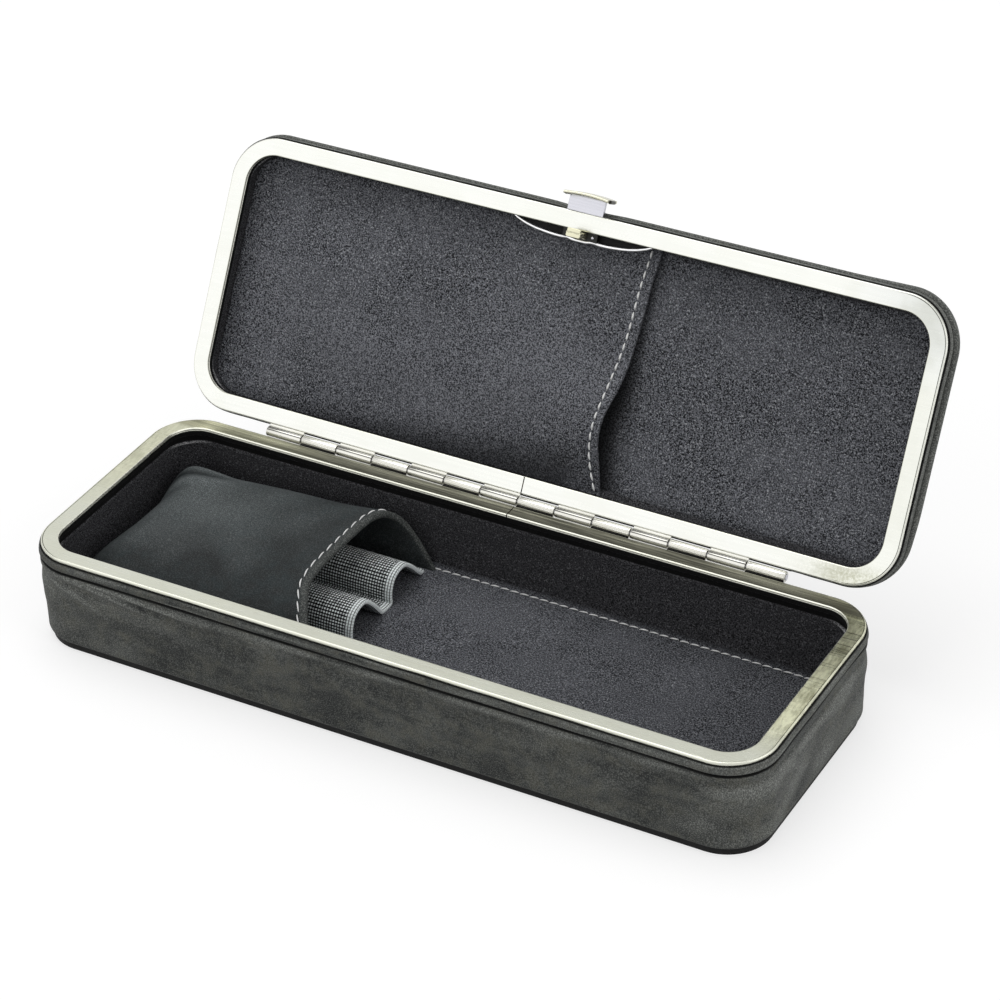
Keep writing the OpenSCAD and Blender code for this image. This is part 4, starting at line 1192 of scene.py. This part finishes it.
# Hinge: rolled knuckles on two leaves, every second one on each
hinge = {
    "length": 147.6, "count": 14, "gap": 0.3, "radius": 1.4, "pin": 0.85, "bevel": 0.18, "seamWidth": 0.09,
    "sides": 96, "seamDepth": 0.12, "leafThickness": 0.6, "leafDepth": 2.9, "leafTop": 2.0,
}


def knucklePart(start, end, half, seamAngle):
    bevel, radius = hinge["bevel"], hinge["radius"]
    x = np.array([start, start, start + bevel * 0.3, start + bevel, end - bevel, end - bevel * 0.3, end, end])
    r = np.array([hinge["pin"], radius - bevel, radius - bevel * 0.3, radius, radius, radius - bevel * 0.3,
                  radius - bevel, hinge["pin"]])
    angle = np.linspace(0, 2 * math.pi, hinge["sides"] + 1)[:-1]
    away = np.abs((angle - seamAngle + math.pi) % (2 * math.pi) - math.pi)
    r = r[:, None] - np.where(r[:, None] > hinge["pin"], hinge["seamDepth"], 0) * (away < hinge["seamWidth"])
    y = case["hingeY"] + r * np.cos(angle)
    z = case["hingeZ"] - case["baseHeight"] + r * np.sin(angle)
    grid = np.stack([np.broadcast_to(x[:, None], y.shape), y, z], -1)
    return gridPart(placeHalf(grid, half), closeV=True)


# Painted shade in lines along the lid's knuckles, on one side of each
def knuckleShade(half):
    turn = np.degrees(np.linspace(0, 2 * math.pi, hinge["sides"] + 1)[:-1])
    lines = smoothStep(100, 110, turn) * (1 - smoothStep(160, 172, turn))
    lines = lines * (0.5 + 0.4 * np.cos(np.radians(16 * turn)))
    return np.tile(lines if half == "lid" else 0 * lines, 8)


for half, first in (("base", 1), ("lid", 0)):
    pitch = hinge["length"] / hinge["count"]
    thick = hinge["leafThickness"]

    def onFlange(grid, x, depth, place=half):
        moved = np.stack([grid[..., 0] + x, halfWidth + thick / 2 + grid[..., 2], -depth + grid[..., 1]], -1)
        return placeHalf(moved, place)

    stripHeight = hinge["leafDepth"] - hinge["leafTop"]
    parts = [blockPart((hinge["length"], stripHeight, thick), 0.2, 0.1,
                       lambda g: onFlange(g, 0, hinge["leafTop"] + stripHeight / 2))]
    for k in range(first, hinge["count"], 2):
        start = -hinge["length"] / 2 + k * pitch + hinge["gap"] / 2
        end = start + pitch - hinge["gap"]
        parts.append(knucklePart(start, end, half, math.radians(150)))
        parts.append(blockPart((end - start, hinge["leafDepth"], thick), 0.1, 0.1,
                               lambda g: onFlange(g, (start + end) / 2, hinge["leafDepth"] / 2)))
    # Painted shade: the leaf strips and the base's leaf blocks are darkened, in the gap behind the knuckles
    leafShade = 1.0 if half == "base" else 0.0
    dark = [np.ones(len(parts[0][0]))]
    for part in parts[1:]:
        isKnuckle = len(part[0]) == 8 * hinge["sides"]
        dark.append(knuckleShade(half) if isKnuckle else np.full(len(part[0]), leafShade))
    dark = np.concatenate(dark)
    piece = makePiece(half + "HingeLeaf", parts, 35, marks={"paintedShade": dark})
    finishPiece(piece, hingeMetal, half, "hinge_metal", half + "_hinge_leaf")
print("hinge made")

# Latch: a thumb pad on a sliding plate, its catch block, rivets and bowed spring
latch = {
    "plateWidth": 10.0, "plateThickness": 1.0, "plateDepth": 0.9, "plateEnd": 6.7, "lead": 1.4,
    "padOut": 4.0, "padWidth": 12.2, "padAside": 0.5, "padHeight": 6.0, "padThickness": 0.8, "padLow": 3.9,
    "padBow": 0.4, "rollRadius": 0.5, "rollHole": 0.24, "rollLength": 2.6,
    "catchInset": 4.8, "catchDepth": 1.6, "catchWidth": 4.0, "catchTop": 3.4,
    "noseReach": 0.7, "noseHeight": 0.8,
    "rivetX": 3.5, "rivetRadius": 0.42, "rivetHeight": 0.3, "wireRadius": 0.42, "springHalf": 20.0,
}


def onLid(grid):
    return placeHalf(grid, "lid")


def atLatch(x, inset, depth):
    return lambda grid: onLid(grid + np.array([x, inset - halfWidth, -depth]))


# Rolled strip: a short pipe, its outer and inner walls joined at both ends
def pipePart(start, end, outer, inner, place, sides=16):
    angle = np.linspace(0, 2 * math.pi, sides, endpoint=False)
    around = np.stack([np.cos(angle), np.sin(angle), np.zeros(sides)], -1)
    rows = [(start, outer), (end, outer), (end, inner), (start, inner)]
    grid = np.stack([np.asarray(middle) + radius * around for middle, radius in rows])
    return gridPart(place(grid), closeU=True, closeV=True)


def makeLatchPlate():
    long = latch["lead"] + latch["padOut"]
    part = blockPart((latch["plateWidth"], long, latch["plateThickness"]), 0.25, 0.12,
                     atLatch(0, latch["lead"] - long / 2, latch["plateDepth"] + latch["plateThickness"] / 2))
    piece = makePiece("latchPlate", [part], 40)
    return finishPiece(piece, latchMetal, "latch", "latch_metal", "latch_button")


# The plate's inner end, blackened, which carries the catch
def makeLatchSlide():
    long = latch["plateEnd"] - 1.0
    part = blockPart((latch["plateWidth"] - 0.4, long, latch["plateThickness"] - 0.1), 0.4, 0.12,
                     atLatch(0, 1.0 + long / 2, latch["plateDepth"] + latch["plateThickness"] / 2))
    return finishPiece(makePiece("latchSlide", [part], 40), blackSteel, "latch", "latch_metal")


def makeLatchPad():
    half = latch["padWidth"] / 2
    x = np.linspace(-half, half, 41)
    bow = latch["padBow"] * (1 - (x / half) ** 2)
    x = x + latch["padAside"]
    thick = latch["padThickness"]
    edge = arcPoints((0, 0), thick / 2, -90, 90, 6)
    ring = np.concatenate([edge + [latch["padHeight"] / 2 - thick / 2, 0],
                           -edge - [latch["padHeight"] / 2 - thick / 2, 0]])
    middle = -latch["padLow"] + latch["padHeight"] / 2
    y = -halfWidth - latch["padOut"] - thick / 2 - bow[:, None] + latch["padBow"] * 0.5 + ring[None, :, 1]
    z = np.broadcast_to(middle + ring[None, :, 0], y.shape)
    grid = np.stack([np.broadcast_to(x[:, None], y.shape), y, z], -1)
    rolls = []
    for side in (-1, 1):
        turn = y[0].mean() + latch["rollRadius"] - thick / 2
        end = [side * half + latch["padAside"], turn, -latch["padLow"] + latch["padHeight"] / 2]
        reach = np.array([0, 0, latch["rollLength"] / 2])
        rolls.append(pipePart(end - reach, end + reach, latch["rollRadius"], latch["rollHole"], onLid))
    finishPiece(makePiece("latchPadRolls", rolls, 40), shadedRollMetal, "latch", "latch_metal")
    padPart = gridPart(onLid(grid), closeV=True, capU=True)
    return finishPiece(makePiece("latchPad", [padPart], 40), padMetal, "latch", "latch_metal")


def makeLatchCatch():
    tall = latch["catchTop"] + latch["plateDepth"]
    reach, high, inset = latch["noseReach"], latch["noseHeight"], latch["catchInset"]
    body = blockPart((latch["catchWidth"], latch["catchDepth"], tall), 0.45, 0.2,
                     atLatch(0, inset + latch["catchDepth"] / 2, latch["plateDepth"] - tall / 2))
    nose = blockPart((latch["catchWidth"] - 0.3, reach + 0.8, high), 0.3, 0.2,
                     atLatch(0, inset - reach / 2 + 0.4, -latch["catchTop"] + high / 2))
    piece = makePiece("latchCatch", [body, nose], 40)
    return finishPiece(piece, catchBrass, "latch", "frame_metal", "latch_catch")


def makeRivets():
    parts = []
    dome = arcPoints((0, 0), (latch["rivetRadius"], latch["rivetHeight"]), 0, 88, 6)
    angle = np.linspace(0, 2 * math.pi, 16, endpoint=False)
    ring, high = dome[:, 0, None], np.broadcast_to(dome[:, 1, None], (7, 16))
    grid = np.stack([ring * np.cos(angle), ring * np.sin(angle), high], -1)
    middle = latch["catchInset"] + latch["catchDepth"] / 2
    for side in (-1, 1):
        place = atLatch(side * latch["rivetX"], middle, latch["plateDepth"])
        parts.append(gridPart(place(grid), closeV=True, capU=True))
    piece = makePiece("latchRivets", parts, 50)
    return finishPiece(piece, latchMetal, "latch", "latch_metal", "latch_rivets")


def makeSpring():
    share = [0.0, 0.1, 0.17, 0.24, 0.34, 0.5, 0.7, 0.86, 0.95, 1.0]
    inset = [7.05, 7.0, 6.75, 6.9, 6.95, 6.75, 6.2, 5.3, 4.5, 3.8]
    depth = [1.4, 1.4, 1.5, 1.9, 2.25, 2.35, 2.35, 2.35, 2.38, 2.4]
    t = np.linspace(0, 1, 60)
    half = np.stack([t * latch["springHalf"], throughStations(share, inset, t) - halfWidth,
                     -throughStations(share, depth, t)], -1)
    line = np.concatenate([half[::-1] * [-1, 1, 1], half[1:]])
    piece = makePiece("latchSpring", [tubePart(onLid(line), latch["wireRadius"], 12)], 60)
    return finishPiece(piece, springWire, "lid", "latch_metal", "latch_spring")


# Black sheet behind the spring, standing in for the shade in the gap there: a lens between the frame's lip
# and the wire
def makeSpringShade():
    x = np.linspace(-latch["springHalf"], latch["springHalf"], 61)[:, None]
    outer = 3.95
    inner = outer + 2.9 * np.clip(1 - (x / latch["springHalf"]) ** 2, 0.01, 1) ** 0.75
    way = np.concatenate([np.linspace(0, 1, 9), np.linspace(1, 0, 9)])[None, :]
    depth = np.concatenate([np.full(9, 2.75), np.full(9, 3.0)])[None, :] + 0 * x
    grid = np.stack([x + 0 * way, outer + (inner - outer) * way - halfWidth, -depth], -1)
    piece = makePiece("springShade", [gridPart(onLid(grid), closeV=True, capU=True)], 60)
    return finishPiece(piece, panelBlack, "lid", "black_suede")


for make in (
    makeLatchPlate, makeLatchSlide, makeLatchPad, makeLatchCatch, makeRivets, makeSpring, makeSpringShade,
):
    make()
print("latch made")

# Camera, solved from the frames' corners in the photograph
camera = {
    "place": (365.443, -621.104, 525.097), "turn": (56.5779, 1.1356, 28.6162),
    "lens": 129.705, "sensor": 36.0,
}
cameraData = bpy.data.cameras.new("photoCamera")
cameraData.sensor_fit = "HORIZONTAL"
cameraData.sensor_width = camera["sensor"]
cameraData.lens = camera["lens"]
cameraData.clip_start = 0.01
cameraData.clip_end = 50
cameraObject = bpy.data.objects.new("photoCamera", cameraData)
cameraObject.location = np.array(camera["place"]) * mm
cameraObject.rotation_euler = [math.radians(a) for a in camera["turn"]]
bpy.context.scene.collection.objects.link(cameraObject)
bpy.context.scene.camera = cameraObject

# Studio: a pale floor that keeps the shadow, and soft lamps round a pale room
studio = {"floorSize": 6.0, "floorColour": grey(0.44), "floorGlow": 0.66, "roomLight": 0.42}
lamps = [
    {"name": "frontLamp", "place": (-0.75, -1.5, 0.7), "size": 2.2, "power": 8.0},
    {"name": "topLamp", "place": (-0.45, 0.2, 1.7), "size": 1.3, "power": 11.0},
    {"name": "sideLamp", "place": (1.7, 0.1, 0.7), "size": 1.5, "power": 8.0},
]


# Rays by which the room is seen, and not lit
def seenRays(tree):
    light = addNode(tree, "ShaderNodeLightPath", {})
    seen = mathNode(tree, "MAXIMUM", light["Is Camera Ray"], light["Is Glossy Ray"])
    return mathNode(tree, "MAXIMUM", seen, light["Is Transmission Ray"])


def makeFloor():
    edge = studio["floorSize"] / 2 / mm
    corners = np.array([[[-edge, -edge, 0], [-edge, edge, 0]], [[edge, -edge, 0], [edge, edge, 0]]])
    floor = makePiece("studioFloor", [gridPart(corners)], outward=False)
    material, tree, shader = newMaterial("floorPaper")[:3]
    feed(tree, shader, {
        "Base Color": studio["floorColour"], "Roughness": 0.9, "Specular IOR Level": 0.0,
        "Emission Color": grey(1.0),
        "Emission Strength": rangeNode(tree, seenRays(tree), 0.0, 1.0, 0.0, studio["floorGlow"]),
    })
    floor.data.materials.append(material)


def makeWorld():
    world = bpy.data.worlds.new("paleRoom")
    world.use_nodes = True
    tree = world.node_tree
    strength = rangeNode(tree, seenRays(tree), 0.0, 1.0, studio["roomLight"], 1.0)
    feed(tree, tree.nodes["Background"], {"Strength": strength, "Color": grey(1.0)})
    bpy.context.scene.world = world


makeFloor()
makeWorld()
for lamp in lamps:
    data = bpy.data.lights.new(lamp["name"], "AREA")
    data.energy = lamp["power"]
    data.size = lamp["size"]
    light = bpy.data.objects.new(lamp["name"], data)
    light.location = lamp["place"]
    toward = -np.array(lamp["place"]) + [0, 0, 0.03]
    tilt = math.atan2(math.hypot(toward[0], toward[1]), -toward[2])
    light.rotation_euler = (tilt, 0, math.atan2(toward[0], -toward[1]) + math.pi)
    bpy.context.scene.collection.objects.link(light)
bpy.context.scene.view_settings.view_transform = "Standard"
print("camera and studio made")
